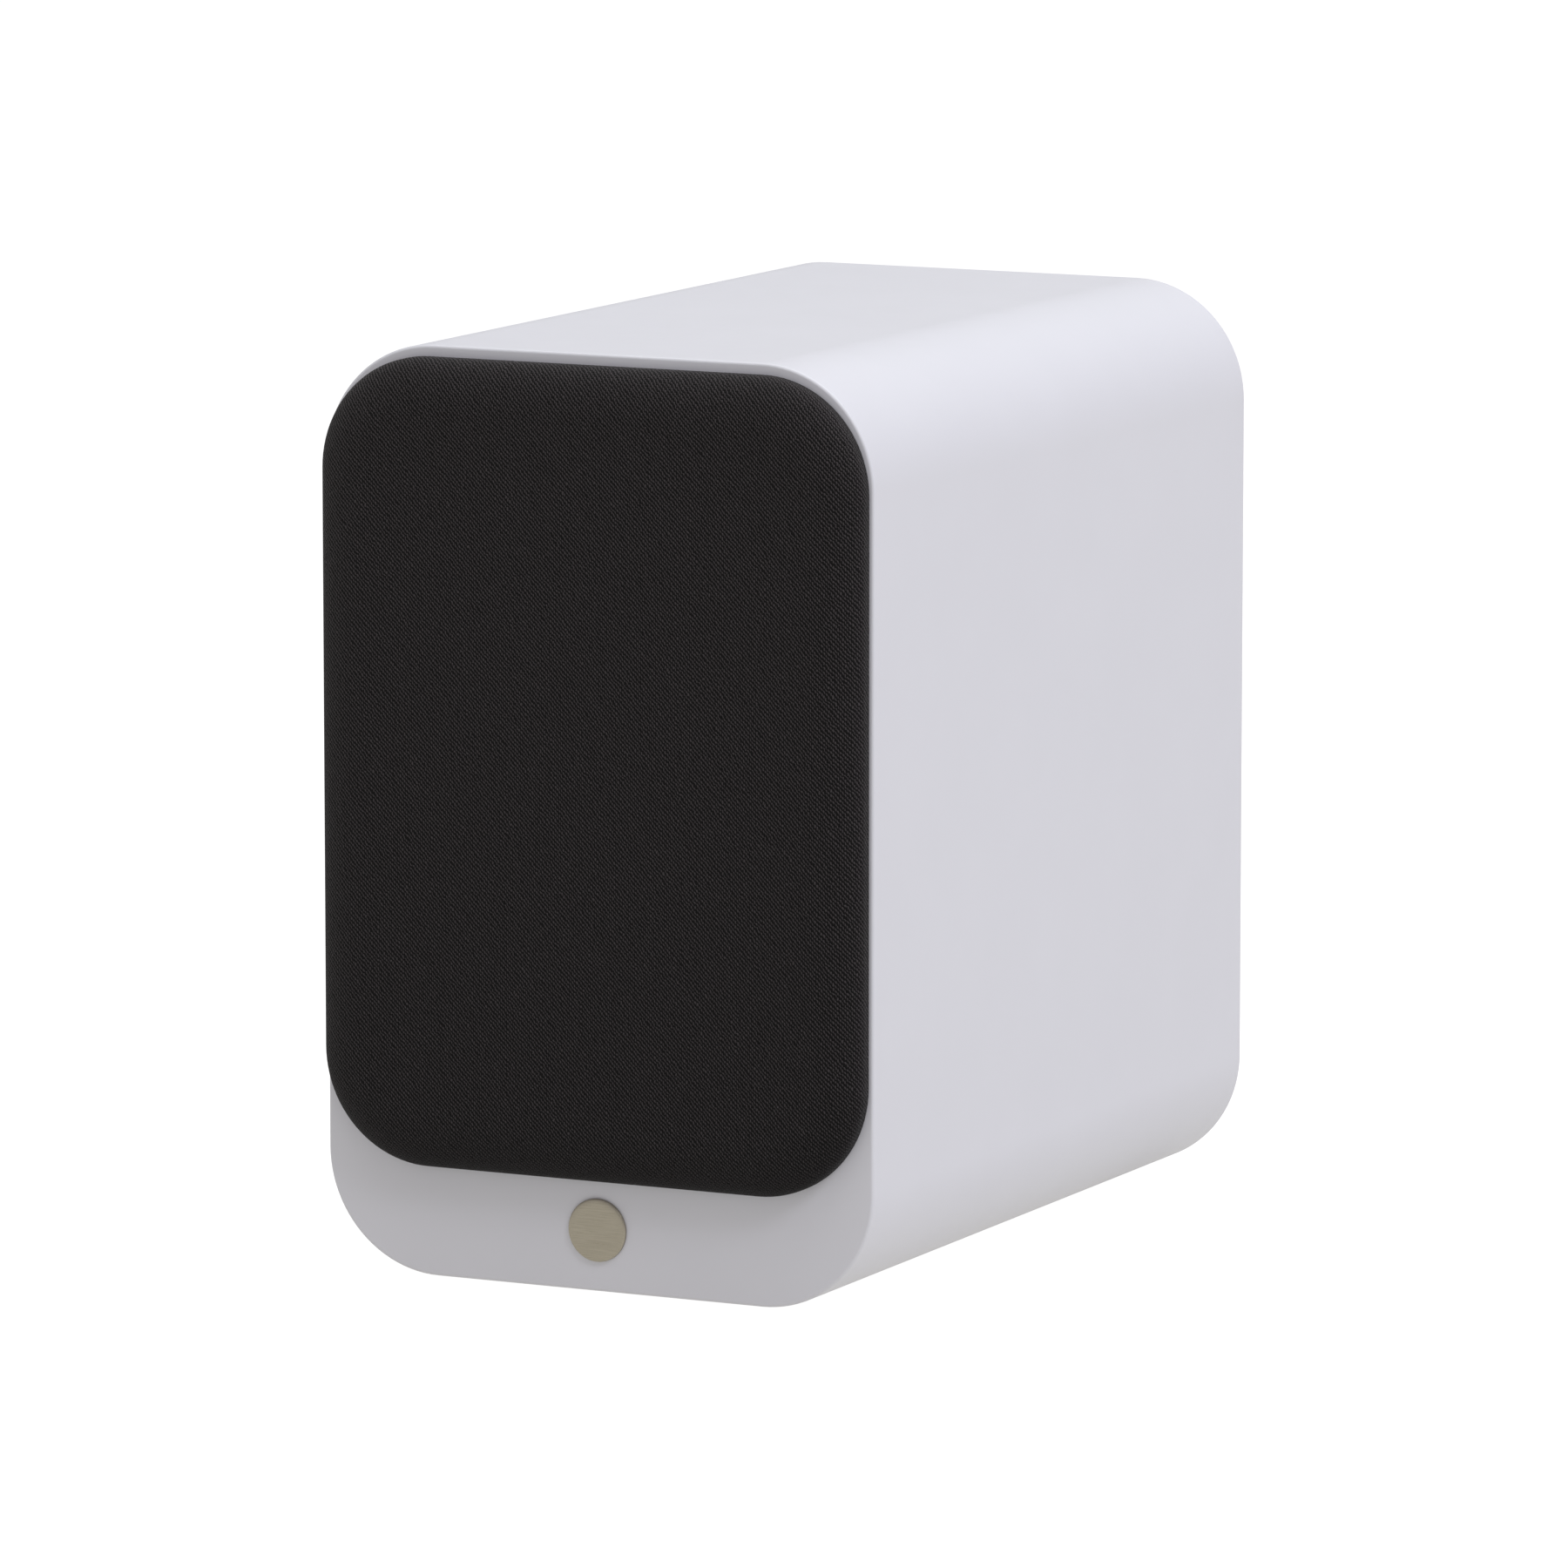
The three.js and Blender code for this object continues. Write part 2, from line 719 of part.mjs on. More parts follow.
function crossoverBoard() {
  const board = { x: 0, z: 0, width: 86, height: 60, radius: 2 };
  const tail = POST_PLACES.map(([, x]) => at(bar(2, BOARD_FRONT - 1, BOARD_BACK + 1), x, 0, 0));
  return cut(slab(board, BOARD_FRONT, BOARD_BACK), tail);
}

// The inductor stands on the board; the capacitor and the resistor lie on it, along X.
const crossoverInductor = () => washer(6, 14, BOARD_FRONT - GAP - 16, BOARD_FRONT - GAP, MEDIUM);
const crossoverCapacitor = () => bar(7, -16, 16, MEDIUM).rotateZ(Math.PI / 2);
const crossoverResistor = () => new THREE.BoxGeometry(36, 8, 8);

// A round lead along a smooth route.
function lead(route) {
  const path = new THREE.CatmullRomCurve3(route.map((p) => new THREE.Vector3(...p)));
  const section = new THREE.Shape().absarc(0, 0, 1.75, 0, 2 * Math.PI);
  return facingOut(
    new THREE.ExtrudeGeometry(section, { steps: 22, curveSegments: 4, extrudePath: path }),
  );
}

// From the crossover along the left wall and through the lower brace window to the woofer's tags.
const wooferLead = () =>
  lead([
    [-34, BOARD_FRONT - 0.6, 104],
    [-34, BOARD_FRONT - 6, 104],
    [-42, 216, 108],
    [-51, 190, 110],
    [-51, 150, 106],
    [-49, 124, 104],
    [-52, 92, 112],
    [-49, 64, 124],
    [-46, 47, 130],
  ]);

// From the crossover up the right wall and through the upper brace window to the tweeter.
const tweeterLead = () =>
  lead([
    [34, BOARD_FRONT - 0.6, 104],
    [34, BOARD_FRONT - 6, 104],
    [44, 214, 114],
    [54, 190, 140],
    [52, 150, 178],
    [46, 124, 200],
    [34, 90, 216],
    [16, 52, 226],
    [6, 26, 230],
  ]);

// ---------------------------------------------------------------- the scene graph

const assembly = (parent, name, x = 0, y = 0, z = 0) => {
  const group = new THREE.Group();
  group.name = name;
  group.position.set(x, y, z);
  parent.add(group);
  return group;
};

const add = (parent, name, geometry, material, x = 0, y = 0, z = 0) => {
  const mesh = new THREE.Mesh(geometry, material);
  mesh.name = name;
  mesh.position.set(x, y, z);
  parent.add(mesh);
};

const speaker = new THREE.Group();
speaker.position.y = (GRILLE.depth - CABINET.depth) / 2;

const cabinet = assembly(speaker, "cabinet");
add(cabinet, "cabinet_shell", cabinetShell(), WHITE_LACQUER);
add(cabinet, "front_baffle", frontBaffle(), BLACK_PAINT);
add(cabinet, "rear_panel", rearPanel(), BLACK_PAINT);
add(cabinet, "window_brace", windowBrace(), BOARD);
add(cabinet, "wadding", wadding(), FIBRE);
add(cabinet, "badge", badge(), NICKEL, 0, 0, FOOT.height + BADGE.aboveBase);
for (const [end, y] of [
  ["front", FOOT.fromFront],
  ["rear", CABINET.depth - FOOT.fromRear],
]) {
  add(cabinet, `foot_${end}_left`, foot(), RUBBER, -FOOT.x, y, 0);
  add(cabinet, `foot_${end}_right`, foot(), RUBBER, FOOT.x, y, 0);
}
for (const [place, x, z] of MAGNET_PLACES) {
  const disc = bar(MAGNET.radius, GAP, GAP + MAGNET.thickness);
  add(cabinet, `baffle_magnet_${place}`, disc, STEEL, x, 0, z);
}

const grille = assembly(speaker, "grille");
add(grille, "grille_frame", grilleFrame(), BLACK_PLASTIC);
add(grille, "grille_cloth", grilleCloth(), CLOTH);
add(grille, "grille_strip_top", grilleStrip(MAGNET.top), STEEL);
add(grille, "grille_strip_bottom", grilleStrip(MAGNET.bottom), STEEL);

const woofer = assembly(speaker, "woofer", 0, 0, WOOFER.z);
add(woofer, "woofer_basket", wooferBasket(), BLACK_PAINT);
add(woofer, "woofer_trim_ring", wooferTrimRing(), BLACK_PLASTIC);
add(woofer, "woofer_surround", halfRoll(SURROUND, GAP, 5, FINE), RUBBER);
add(woofer, "woofer_cone", wooferCone(), CONE);
add(woofer, "woofer_dust_cap", wooferDustCap(), CONE);
add(woofer, "woofer_voice_coil", wooferVoiceCoil(), COPPER);
add(woofer, "woofer_spider", wooferSpider(), SPIDER_CLOTH);
add(woofer, "woofer_top_plate", wooferTopPlate(), STEEL);
add(woofer, "woofer_magnet", wooferMagnet(), FERRITE);
add(woofer, "woofer_yoke", wooferYoke(), STEEL);
WOOFER_SCREWS.forEach(([x, z], i) => {
  add(woofer, `woofer_screw_${i + 1}`, screw(2.7, 1.2, 1.6, 0, 14), STEEL, x, 0, z);
});

const tweeter = assembly(speaker, "tweeter", 0, 0, TWEETER.z);
add(tweeter, "tweeter_faceplate", tweeterFaceplate(), BLACK_PLASTIC);
add(tweeter, "tweeter_surround", tweeterSurround(), RUBBER);
add(tweeter, "tweeter_dome", tweeterDome(), SILK);
add(tweeter, "tweeter_voice_coil", tweeterVoiceCoil(), COPPER);
add(tweeter, "tweeter_pole_plate", tweeterPolePlate(), STEEL);
add(tweeter, "tweeter_magnet", tweeterMagnet(), STEEL);
add(tweeter, "tweeter_yoke", tweeterYoke(), STEEL);
TWEETER_SCREWS.forEach(([x, z], i) => {
  add(tweeter, `tweeter_screw_${i + 1}`, screw(2.3, 1, 1.3, -2.3, 14.5), STEEL, x, 0, z);
});

const back = assembly(speaker, "back");
add(back, "port_tube", portTube(), BLACK_PLASTIC, 0, 0, PORT.z);

const terminals = assembly(back, "terminals", 0, 0, TERMINALS.z);
add(terminals, "terminal_cup", terminalCup(), BLACK_PLASTIC);
for (const [place, x, z] of CUP_SCREWS) {
  const turnedRound = screw(3.2, 1.4, 1.4, 0, 12).rotateZ(Math.PI);
  add(terminals, `terminal_screw_${place}`, turnedRound, STEEL, x, CUP_FRONT + GAP + 1.4, z);
}
for (const [colour, x] of POST_PLACES) {
  const post = assembly(terminals, `post_${colour}`, x);
  add(post, `post_stud_${colour}`, postStud(), BRASS);
  add(post, `post_washer_${colour}`, postWasher(), BRASS);
  add(post, `post_knob_${colour}`, postKnob(), colour === "red" ? RED_PLASTIC : BLACK_PLASTIC);
}

const crossover = assembly(back, "crossover", 0, 0, TERMINALS.z);
const PART_FRONT = BOARD_FRONT - GAP;
add(crossover, "crossover_board", crossoverBoard(), CIRCUIT);
add(crossover, "crossover_inductor", crossoverInductor(), COPPER, 24, 0, -13);
add(crossover, "crossover_capacitor", crossoverCapacitor(), CABLE, -20, PART_FRONT - 7, -14);
add(crossover, "crossover_resistor", crossoverResistor(), CERAMIC, -16, PART_FRONT - 4, 12);
add(back, "woofer_lead", wooferLead(), CABLE);
add(back, "tweeter_lead", tweeterLead(), CABLE);

export default speaker;
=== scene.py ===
import math

import bmesh
import bpy
from mathutils import Matrix, Vector, noise


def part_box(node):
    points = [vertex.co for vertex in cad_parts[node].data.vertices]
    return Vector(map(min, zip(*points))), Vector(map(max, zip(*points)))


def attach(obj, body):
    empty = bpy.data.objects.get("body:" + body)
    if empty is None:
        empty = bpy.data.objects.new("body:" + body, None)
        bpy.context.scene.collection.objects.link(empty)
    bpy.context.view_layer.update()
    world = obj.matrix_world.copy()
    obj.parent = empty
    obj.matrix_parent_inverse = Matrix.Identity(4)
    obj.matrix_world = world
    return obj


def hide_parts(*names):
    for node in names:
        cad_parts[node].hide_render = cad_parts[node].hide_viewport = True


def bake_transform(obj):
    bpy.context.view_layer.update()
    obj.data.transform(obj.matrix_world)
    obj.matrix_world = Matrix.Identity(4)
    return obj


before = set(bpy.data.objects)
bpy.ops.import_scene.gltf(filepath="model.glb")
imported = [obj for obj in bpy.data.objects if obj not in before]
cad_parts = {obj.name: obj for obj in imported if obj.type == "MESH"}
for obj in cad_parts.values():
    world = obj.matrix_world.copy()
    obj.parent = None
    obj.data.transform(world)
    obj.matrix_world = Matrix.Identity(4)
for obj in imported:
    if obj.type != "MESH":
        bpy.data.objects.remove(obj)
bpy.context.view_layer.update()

# A two-way bookshelf speaker. The shapes below are written in millimetres. X and Z are the frame's own,
# and a depth is measured back from the face of the baffle, so that a negative depth stands in front of it.

MM = 0.001


class Box:
    """Where a CAD node is at rest, in millimetres and depths."""

    def __init__(self, node):
        low, high = (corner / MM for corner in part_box(node))
        self.low, self.high = low, high
        self.x, self.z = (low.x + high.x) / 2, (low.z + high.z) / 2
        self.width, self.height = high.x - low.x, high.z - low.z
        self.radius = self.height / 2
        self.front, self.back = low.y - FACE, high.y - FACE


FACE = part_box("cabinet_shell")[0].y / MM

# ---- dimensions that the boxes don't give

CABINET_RADIUS = 37
CABINET_WALL = 15
CABINET_EASING = 1
GRILLE_RADIUS = 34.8
GRILLE_SIDE = 3  # straight part of the grille's side
GRILLE_ROLL = 16  # width of its rolled front edge
GRILLE_RIM = {"side": 18, "top": 18, "bottom": 15}
UNDER_GRILLE = 4  # how far the grille reaches past the baffle's edge
CLOTH = 0.45
HEM = 9
THREAD = {"warp": 0.705, "weft": 0.713}  # distance from one thread of the grille cloth to the next

CORNER_STEPS = 24
TURN_STEPS = 96
SMOOTH_BELOW = math.radians(34)
FILLET_STEP = 15  # most degrees between two points of a fillet
PAST = 1  # how far a cutting tool runs past the face that it cuts


# ---- outlines and shapes


class Outline:
    """A rounded rectangle seen from the front."""

    def __init__(self, x, z, width, height, radius):
        self.x, self.z, self.width, self.height, self.radius = x, z, width, height, radius

    @classmethod
    def of(cls, box, radius):
        return cls(box.x, box.z, box.width, box.height, radius)

    def inset(self, side, top=None, bottom=None):
        top = side if top is None else top
        bottom = side if bottom is None else bottom
        return Outline(
            self.x,
            self.z + (bottom - top) / 2,
            self.width - 2 * side,
            self.height - top - bottom,
            max(self.radius - side, 0.3),
        )

    def points(self, steps=CORNER_STEPS):
        """(x, z, outward x, outward z) round the outline, always the same number."""
        reach_x, reach_z = self.width / 2 - self.radius, self.height / 2 - self.radius
        for corner, (sign_x, sign_z) in enumerate([(1, 1), (-1, 1), (-1, -1), (1, -1)]):
            for i in range(steps + 1):
                angle = (corner + i / steps) * math.pi / 2
                out_x, out_z = math.cos(angle), math.sin(angle)
                x = self.x + sign_x * reach_x + self.radius * out_x
                z = self.z + sign_z * reach_z + self.radius * out_z
                yield x, z, out_x, out_z


class Shape:
    """Points in millimetres, with Y as a depth, and the faces between them."""

    def __init__(self, points, faces):
        self.points, self.faces = [Vector(p) for p in points], faces

    def placed(self, matrix):
        return Shape([matrix @ p for p in self.points], self.faces)

    def moved(self, x=0, depth=0, z=0):
        return self.placed(Matrix.Translation((x, depth, z)))

    def spun(self, degrees, axis="Y"):
        return self.placed(Matrix.Rotation(math.radians(degrees), 4, axis))

    def __add__(self, other):
        first = len(self.points)
        moved = [[first + i for i in face] for face in other.faces]
        return Shape(self.points + other.points, self.faces + moved)


def rounded(corners, closed=True):
    """The (a, b, corner number) points of a profile whose corners are (a, b) or (a, b, fillet)."""
    result = []
    for i, corner in enumerate(corners):
        here = Vector(corner[:2])
        radius = corner[2] if len(corner) > 2 else 0
        if radius == 0 or (not closed and i in (0, len(corners) - 1)):
            result.append((here.x, here.y, i))
            continue
        before = Vector(corners[i - 1][:2]) - here
        after = Vector(corners[(i + 1) % len(corners)][:2]) - here
        half = before.angle(after) / 2
        reach = min(radius / math.tan(half), 0.49 * before.length, 0.49 * after.length)
        radius = reach * math.tan(half)
        middle = here + (before.normalized() + after.normalized()).normalized() * radius / math.sin(half)
        start = here + before.normalized() * reach - middle
        end = here + after.normalized() * reach - middle
        sweep = math.pi - 2 * half
        steps = max(2, math.ceil(math.degrees(sweep) / FILLET_STEP))
        for step in range(steps + 1):
            share = step / steps
            spoke = start * math.sin((1 - share) * sweep) + end * math.sin(share * sweep)
            point = middle + spoke / math.sin(sweep)
            result.append((point.x, point.y, i))
    return result


def arc(centre, reach, start, end, steps=16):
    """Points of an ellipse's arc about centre, from the start angle to the end angle in degrees."""
    angles = [math.radians(start + (end - start) * i / steps) for i in range(steps + 1)]
    return [(centre[0] + reach[0] * math.cos(a), centre[1] + reach[1] * math.sin(a)) for a in angles]


def dome(radius, crown, edge, steps=16):
    """(radius, depth) points from the crown of a shallow dome out to its edge."""
    return [(radius * i / steps, crown + (edge - crown) * (i / steps) ** 2) for i in range(steps + 1)]


def mirrored(end):
    """The same corners at the other end of a piece that is centred on depth 0, in reverse order."""
    return [(across, -depth, *fillet) for across, depth, *fillet in reversed(end)]


def skin(rings, closed=False):
    """The shape through rings of points, where a ring of one point is a pole.

    If it isn't closed into a loop, a flat face closes each end that is no pole."""
    points, numbers = [], []
    sides = max(map(len, rings))
    for ring in rings:
        numbers.append([len(points) + (i if len(ring) > 1 else 0) for i in range(sides)])
        points += ring
    faces = strips(numbers, closed)
    if not closed:
        faces += [end for end in (numbers[0][::-1], numbers[-1]) if end[0] != end[1]]
    return Shape(points, faces)


def turned(profile, steps=TURN_STEPS):
    """A piece turned about the Y axis, from (radius, depth) or (radius, depth, fillet) corners."""
    closed = profile[0][0] > 0 or profile[-1][0] > 0
    rings = []
    for radius, depth, _ in rounded(profile, closed):
        angles = [2 * math.pi * i / steps for i in range(steps if radius > 1e-6 else 1)]
        rings.append([(radius * math.sin(a), depth, radius * math.cos(a)) for a in angles])
    return skin(rings, closed)


def strips(rings, closed):
    """The faces between each ring of point numbers and the next."""
    faces = []
    for near, far in zip(rings, rings[1:] + rings[:1] if closed else rings[1:]):
        for i in range(len(near)):
            j = (i + 1) % len(near)
            face = [near[i], near[j], far[j], far[i]]
            face = [p for k, p in enumerate(face) if p != face[k - 1]]
            if len(face) > 2:
                faces.append(face)
    return faces


def loft(sections, closed=False, steps=CORNER_STEPS):
    """A solid through rounded rectangles, from (outline, inset, depth) or (outline, inset, depth, fillet).

    If it is closed the last one joins the first, as in a frame, and otherwise flat faces close both ends."""
    corners = [(s[0].width / 2 - s[1], s[2], *s[3:]) for s in sections]
    rings = []
    for half_width, depth, owner in rounded(corners, closed):
        outline = sections[owner][0]
        ring = outline.inset(outline.width / 2 - half_width).points(steps)
        rings.append([(x, depth, z) for x, z, _, _ in ring])
    return skin(rings, closed)


def plate(outline, front, back, easing, border=6, steps=CORNER_STEPS):
    """A flat plate with eased edges, whose flat faces start at the border."""
    edge = [(outline, 0, front, easing), (outline, 0, back, easing)]
    return loft([(outline, border, front), *edge, (outline, border, back)], steps=steps)


def drill(mouth, front, easing, steps, below):
    """What to cut for a hole with an eased mouth at front, whose profile goes on through below."""
    lead = [(0, front - PAST), (mouth + easing + PAST, front - PAST), (mouth, front + easing)]
    return turned([*lead, *below], steps)


def bore(radius, front, back, easing=0.4, steps=TURN_STEPS):
    """What to cut for a round hole that runs past front and back, with its two edges eased."""
    end = [(radius, back - easing), (radius + easing + PAST, back + PAST), (0, back + PAST)]
    return drill(radius, front, easing, steps, end)


def pocket(radius, front, back, easing=0.3, steps=48):
    """What to cut for a blind round hole whose mouth is at front."""
    return drill(radius, front, easing, steps, [(radius, back), (0, back)])


def cut(shape, *tools):
    """The shape with the tools taken away."""
    made = [plain_object(s) for s in (shape, *tools)]
    for tool in made[1:]:
        step = made[0].modifiers.new("cut", "BOOLEAN")
        step.operation, step.solver, step.object = "DIFFERENCE", "EXACT", tool
    bpy.context.view_layer.update()
    result = made[0].evaluated_get(bpy.context.evaluated_depsgraph_get()).to_mesh()
    out = Shape([v.co.copy() for v in result.vertices], [list(p.vertices) for p in result.polygons])
    for obj in made:
        bpy.data.meshes.remove(obj.data)
    return out


def linked(name, data):
    """A new object in the scene."""
    obj = bpy.data.objects.new(name, data)
    bpy.context.scene.collection.objects.link(obj)
    return obj


def plain_object(shape, name="tool", scale=1.0, offset=0.0):
    """A Blender object of the shape, with its faces turned outwards."""
    mesh = bpy.data.meshes.new(name)
    points = [(p.x * scale, (p.y + offset) * scale, p.z * scale) for p in shape.points]
    mesh.from_pydata(points, [], shape.faces)
    work = bmesh.new()
    work.from_mesh(mesh)
    bmesh.ops.recalc_face_normals(work, faces=work.faces)
    work.to_mesh(mesh)
    work.free()
    return linked(name, mesh)


def show(node, make, slot, body="cabinet", **sizes):
    """Makes the piece that stands for a CAD node, in the finish of its slot.

    make is a shape, or a function that makes one from the node's box and the sizes."""
    shape = make(Box(node), **sizes) if callable(make) else make
    obj = plain_object(shape, f"{node}_visual", MM, FACE)
    mesh = obj.data
    mesh.shade_smooth()
    mesh.set_sharp_from_angle(angle=SMOOTH_BELOW)
    mesh.materials.append(FINISHES[slot])
    normals = obj.modifiers.new("normals", "WEIGHTED_NORMAL")
    normals.keep_sharp = True
    if body:
        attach(obj, body)
    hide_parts(node)
    return obj


# ---- materials


def colour(code):
    """Linear RGBA from an sRGB hex code."""
    parts = [int(code[i : i + 2], 16) / 255 for i in (1, 3, 5)]
    return [c / 12.92 if c <= 0.04045 else ((c + 0.055) / 1.055) ** 2.4 for c in parts] + [1.0]


FINISHES = {}  # every material under its own name


class Finish:
    """A Principled material whose colour, roughness and bump come from procedural nodes."""

    def __init__(self, name, roughness=0.5, metallic=0.0, specular=0.5):
        self.material = FINISHES[name] = bpy.data.materials.new(name)
        self.material.use_nodes = True
        self.tree = self.material.node_tree
        self.shader = self.tree.nodes["Principled BSDF"]
        self.set(Roughness=roughness, Metallic=metallic)
        self.shader.inputs["Specular IOR Level"].default_value = specular

    def set(self, **values):
        for name, value in values.items():
            self.shader.inputs[name.replace("_", " ")].default_value = value

    def node(self, kind, settings=None, **inputs):
        made = self.tree.nodes.new("ShaderNode" + kind)
        for name, value in (settings or {}).items():
            setattr(made, name, value)
        for name, value in inputs.items():
            numbered = name[0] == "i" and name[1:].isdigit()
            self.feed(made.inputs[int(name[1:]) if numbered else name], value)
        return made

    def feed(self, socket, value):
        if isinstance(value, bpy.types.NodeSocket):
            self.tree.links.new(value, socket)
        else:
            socket.default_value = value

    def math(self, operation, a, b=0.0):
        return self.node("Math", {"operation": operation}, i0=a, i1=b).outputs[0]

    def times(self, *factors):
        """The product of two or more numbers."""
        product = factors[0]
        for factor in factors[1:]:
            product = self.math("MULTIPLY", product, factor)
        return product

    def place(self, stretch=(1, 1, 1)):
        """The point's own place in millimetres, squeezed along each axis."""
        where = self.node("TexCoord").outputs["Object"]
        scale = [s / MM for s in stretch]
        return self.node("Mapping", Vector=where, Scale=scale).outputs[0]

    def along(self, axis):
        """The point's own coordinate on one axis, in millimetres."""
        return self.node("SeparateXYZ", Vector=self.place()).outputs[axis]

    def facing_up(self):
        """From -1 on an underside to 1 on a top."""
        normal = self.node("NewGeometry").outputs["Normal"]
        return self.node("SeparateXYZ", Vector=normal).outputs[2]

    def grain(self, size, detail=3.0, roughness=0.55, stretch=(1, 1, 1)):
        """Cloudy noise from 0 to 1 whose blotches are about size millimetres across."""
        place = self.place(stretch)
        made = self.node("TexNoise", Vector=place, Scale=1 / size, Detail=detail, Roughness=roughness)
        return made.outputs["Fac"]

    def cells(self, size):
        """Distance to the middle of scattered cells of about size millimetres."""
        return self.node("TexVoronoi", Vector=self.place(), Scale=1 / size).outputs["Distance"]

    def blend(self, factor, low, high, start=0.0, end=1.0):
        """A colour that goes from low to high as factor goes from start to end."""
        ramp = self.node("ValToRGB", Fac=factor)
        for stop, place, code in zip(ramp.color_ramp.elements, (start, end), (low, high)):
            stop.position, stop.color = place, colour(code)
        return ramp.outputs["Color"]

    def span(self, factor, low, high, start=0.0, end=1.0):
        """A number that goes from low to high as factor goes from start to end."""
        made = self.node("MapRange", Value=factor)
        for name, value in (("From Min", start), ("From Max", end), ("To Min", low), ("To Max", high)):
            made.inputs[name].default_value = value
        return made.outputs["Result"]

    def paint(self, socket):
        self.feed(self.shader.inputs["Base Color"], socket)

    def gloss(self, socket):
        self.feed(self.shader.inputs["Roughness"], socket)

    def clouds(self, size, detail, low, high, start=0.3, end=0.7):
        """Paints cloudy noise from one colour to another."""
        self.paint(self.blend(self.grain(size, detail), low, high, start, end))

    def uneven_gloss(self, size, detail, low, high):
        """Roughness that varies between two values in cloudy patches."""
        self.gloss(self.span(self.grain(size, detail), low, high, 0.3, 0.7))

    def relief(self, *layers):
        """Bump from (height, depth in millimetres) layers."""
        normal = None
        for height, depth in layers:
            bump = self.node("Bump", Height=height, Distance=depth * MM)
            if normal:
                self.feed(bump.inputs["Normal"], normal)
            normal = bump.outputs["Normal"]
        self.feed(self.shader.inputs["Normal"], normal)


def cloudy(name, tone, gloss, *bumps, **shader):
    """Cloudy colour, patchy roughness, and bumps that are each (size, detail, depth)."""
    f = Finish(name, **shader)
    f.clouds(*tone)
    f.uneven_gloss(*gloss)
    f.relief(*((f.grain(size, detail), depth) for size, detail, depth in bumps))


def grained(name, pattern, tone, depth, stretch=(1, 1, 1), **shader):
    """Colour and relief that follow one grain, such as fibres or flecks."""
    f = Finish(name, **shader)
    grain = f.grain(*pattern, stretch=stretch)
    f.paint(f.blend(grain, *tone))
    f.relief((grain, depth))


def moulded_plastic():
    """Black moulded plastic with a fine spark-eroded grain."""
    f = Finish("black_plastic", specular=0.45)
    f.clouds(18, 4, "#1b1b1d", "#232326", 0.35, 0.65)
    f.uneven_gloss(6, 4, 0.4, 0.52)
    f.relief((f.cells(0.45), 0.035), (f.grain(0.3, 2), 0.015))


def rubber(name, size, low, high):
    """Matt rubber with a talc bloom."""
    gloss = (size / 2, 4, 0.62, 0.82)
    cloudy(name, (size, 5, low, high, 0.35, 0.7), gloss, (0.35, 3, 0.02), specular=0.3)


def brushed_badge():
    """Champagne nickel, brushed from side to side."""
    f = Finish("badge_metal", metallic=1.0)
    brushed = f.grain(0.16, 4, 0.65, stretch=(0.02, 1, 1))
    f.paint(f.blend(brushed, "#a29b8b", "#c2bbab", 0.25, 0.75))
    f.gloss(f.span(brushed, 0.26, 0.42, 0.3, 0.7))
    f.relief((brushed, 0.006))


def metal(name, low, high, roughness=(0.25, 0.4), size=6.0):
    """Plated metal, slightly cloudy."""
    cloudy(name, (size, 5, low, high), (size / 3, 4, *roughness), (0.6, 3, 0.01), metallic=1.0)


def ferrite():
    """Sintered ferrite: dark grey, ground, with small pits."""
    f = Finish("ferrite", specular=0.4)
    f.paint(f.blend(f.grain(2.2, 6, 0.7), "#222225", "#3a3a3e", 0.3, 0.72))
    f.uneven_gloss(1.4, 4, 0.5, 0.75)
    f.relief((f.grain(0.7, 4, 0.7), 0.06))


def cone_paper():
    """Pressed and dyed paper pulp with short fibres."""
    f = Finish("cone_paper", specular=0.35)
    fibres = f.grain(1.5, 7, 0.75, stretch=(1, 0.5, 1))
    f.paint(f.blend(fibres, "#232528", "#3a3d42", 0.32, 0.7))
    f.uneven_gloss(4, 4, 0.5, 0.66)
    f.relief((fibres, 0.06), (f.grain(0.4, 3), 0.02))


def fine_cloth(name, pitch, low, high, roughness, depth, sheen=0.0):
    """A fine plain weave on a formed part, threaded along X and Z."""
    f = Finish(name, roughness=roughness, specular=0.3)
    f.set(Sheen_Weight=sheen, Sheen_Roughness=0.4)
    waves = [f.math("SINE", f.times(f.along(axis), math.pi / pitch)) for axis in (0, 2)]
    weave = f.times(*waves)
    tone = f.math("ADD", f.times(weave, 0.35), f.grain(5, 4))
    f.paint(f.blend(tone, low, high, 0.25, 0.8))
    f.relief((weave, depth))


def winding_wire():
    """Enamelled copper wire, wound in even turns along the depth."""
    f = Finish("copper_wire", metallic=1.0)
    pitch = 0.55
    turns = f.math("ABSOLUTE", f.math("SINE", f.times(f.along(1), math.pi / pitch)))
    # Painted shade: the colour darkens in the grooves between turns and is pale on their crests.
    tone = f.times(turns, f.span(f.grain(4, 4), 0.7, 1.0))
    f.paint(f.blend(tone, "#5c2c14", "#c4713e", 0.1, 0.9))
    f.gloss(f.span(turns, 0.5, 0.28))
    f.relief((turns, 0.12))


def red_plastic():
    """Clear-coated red plastic of the positive terminal."""
    f = Finish("red_plastic", specular=0.5)
    f.set(Coat_Weight=0.3, Coat_Roughness=0.15, Subsurface_Weight=0.08, Subsurface_Scale=0.002)
    f.clouds(3, 4, "#9c1418", "#b81d20")
    f.uneven_gloss(2, 4, 0.26, 0.38)
    f.relief((f.grain(0.5, 3), 0.012))


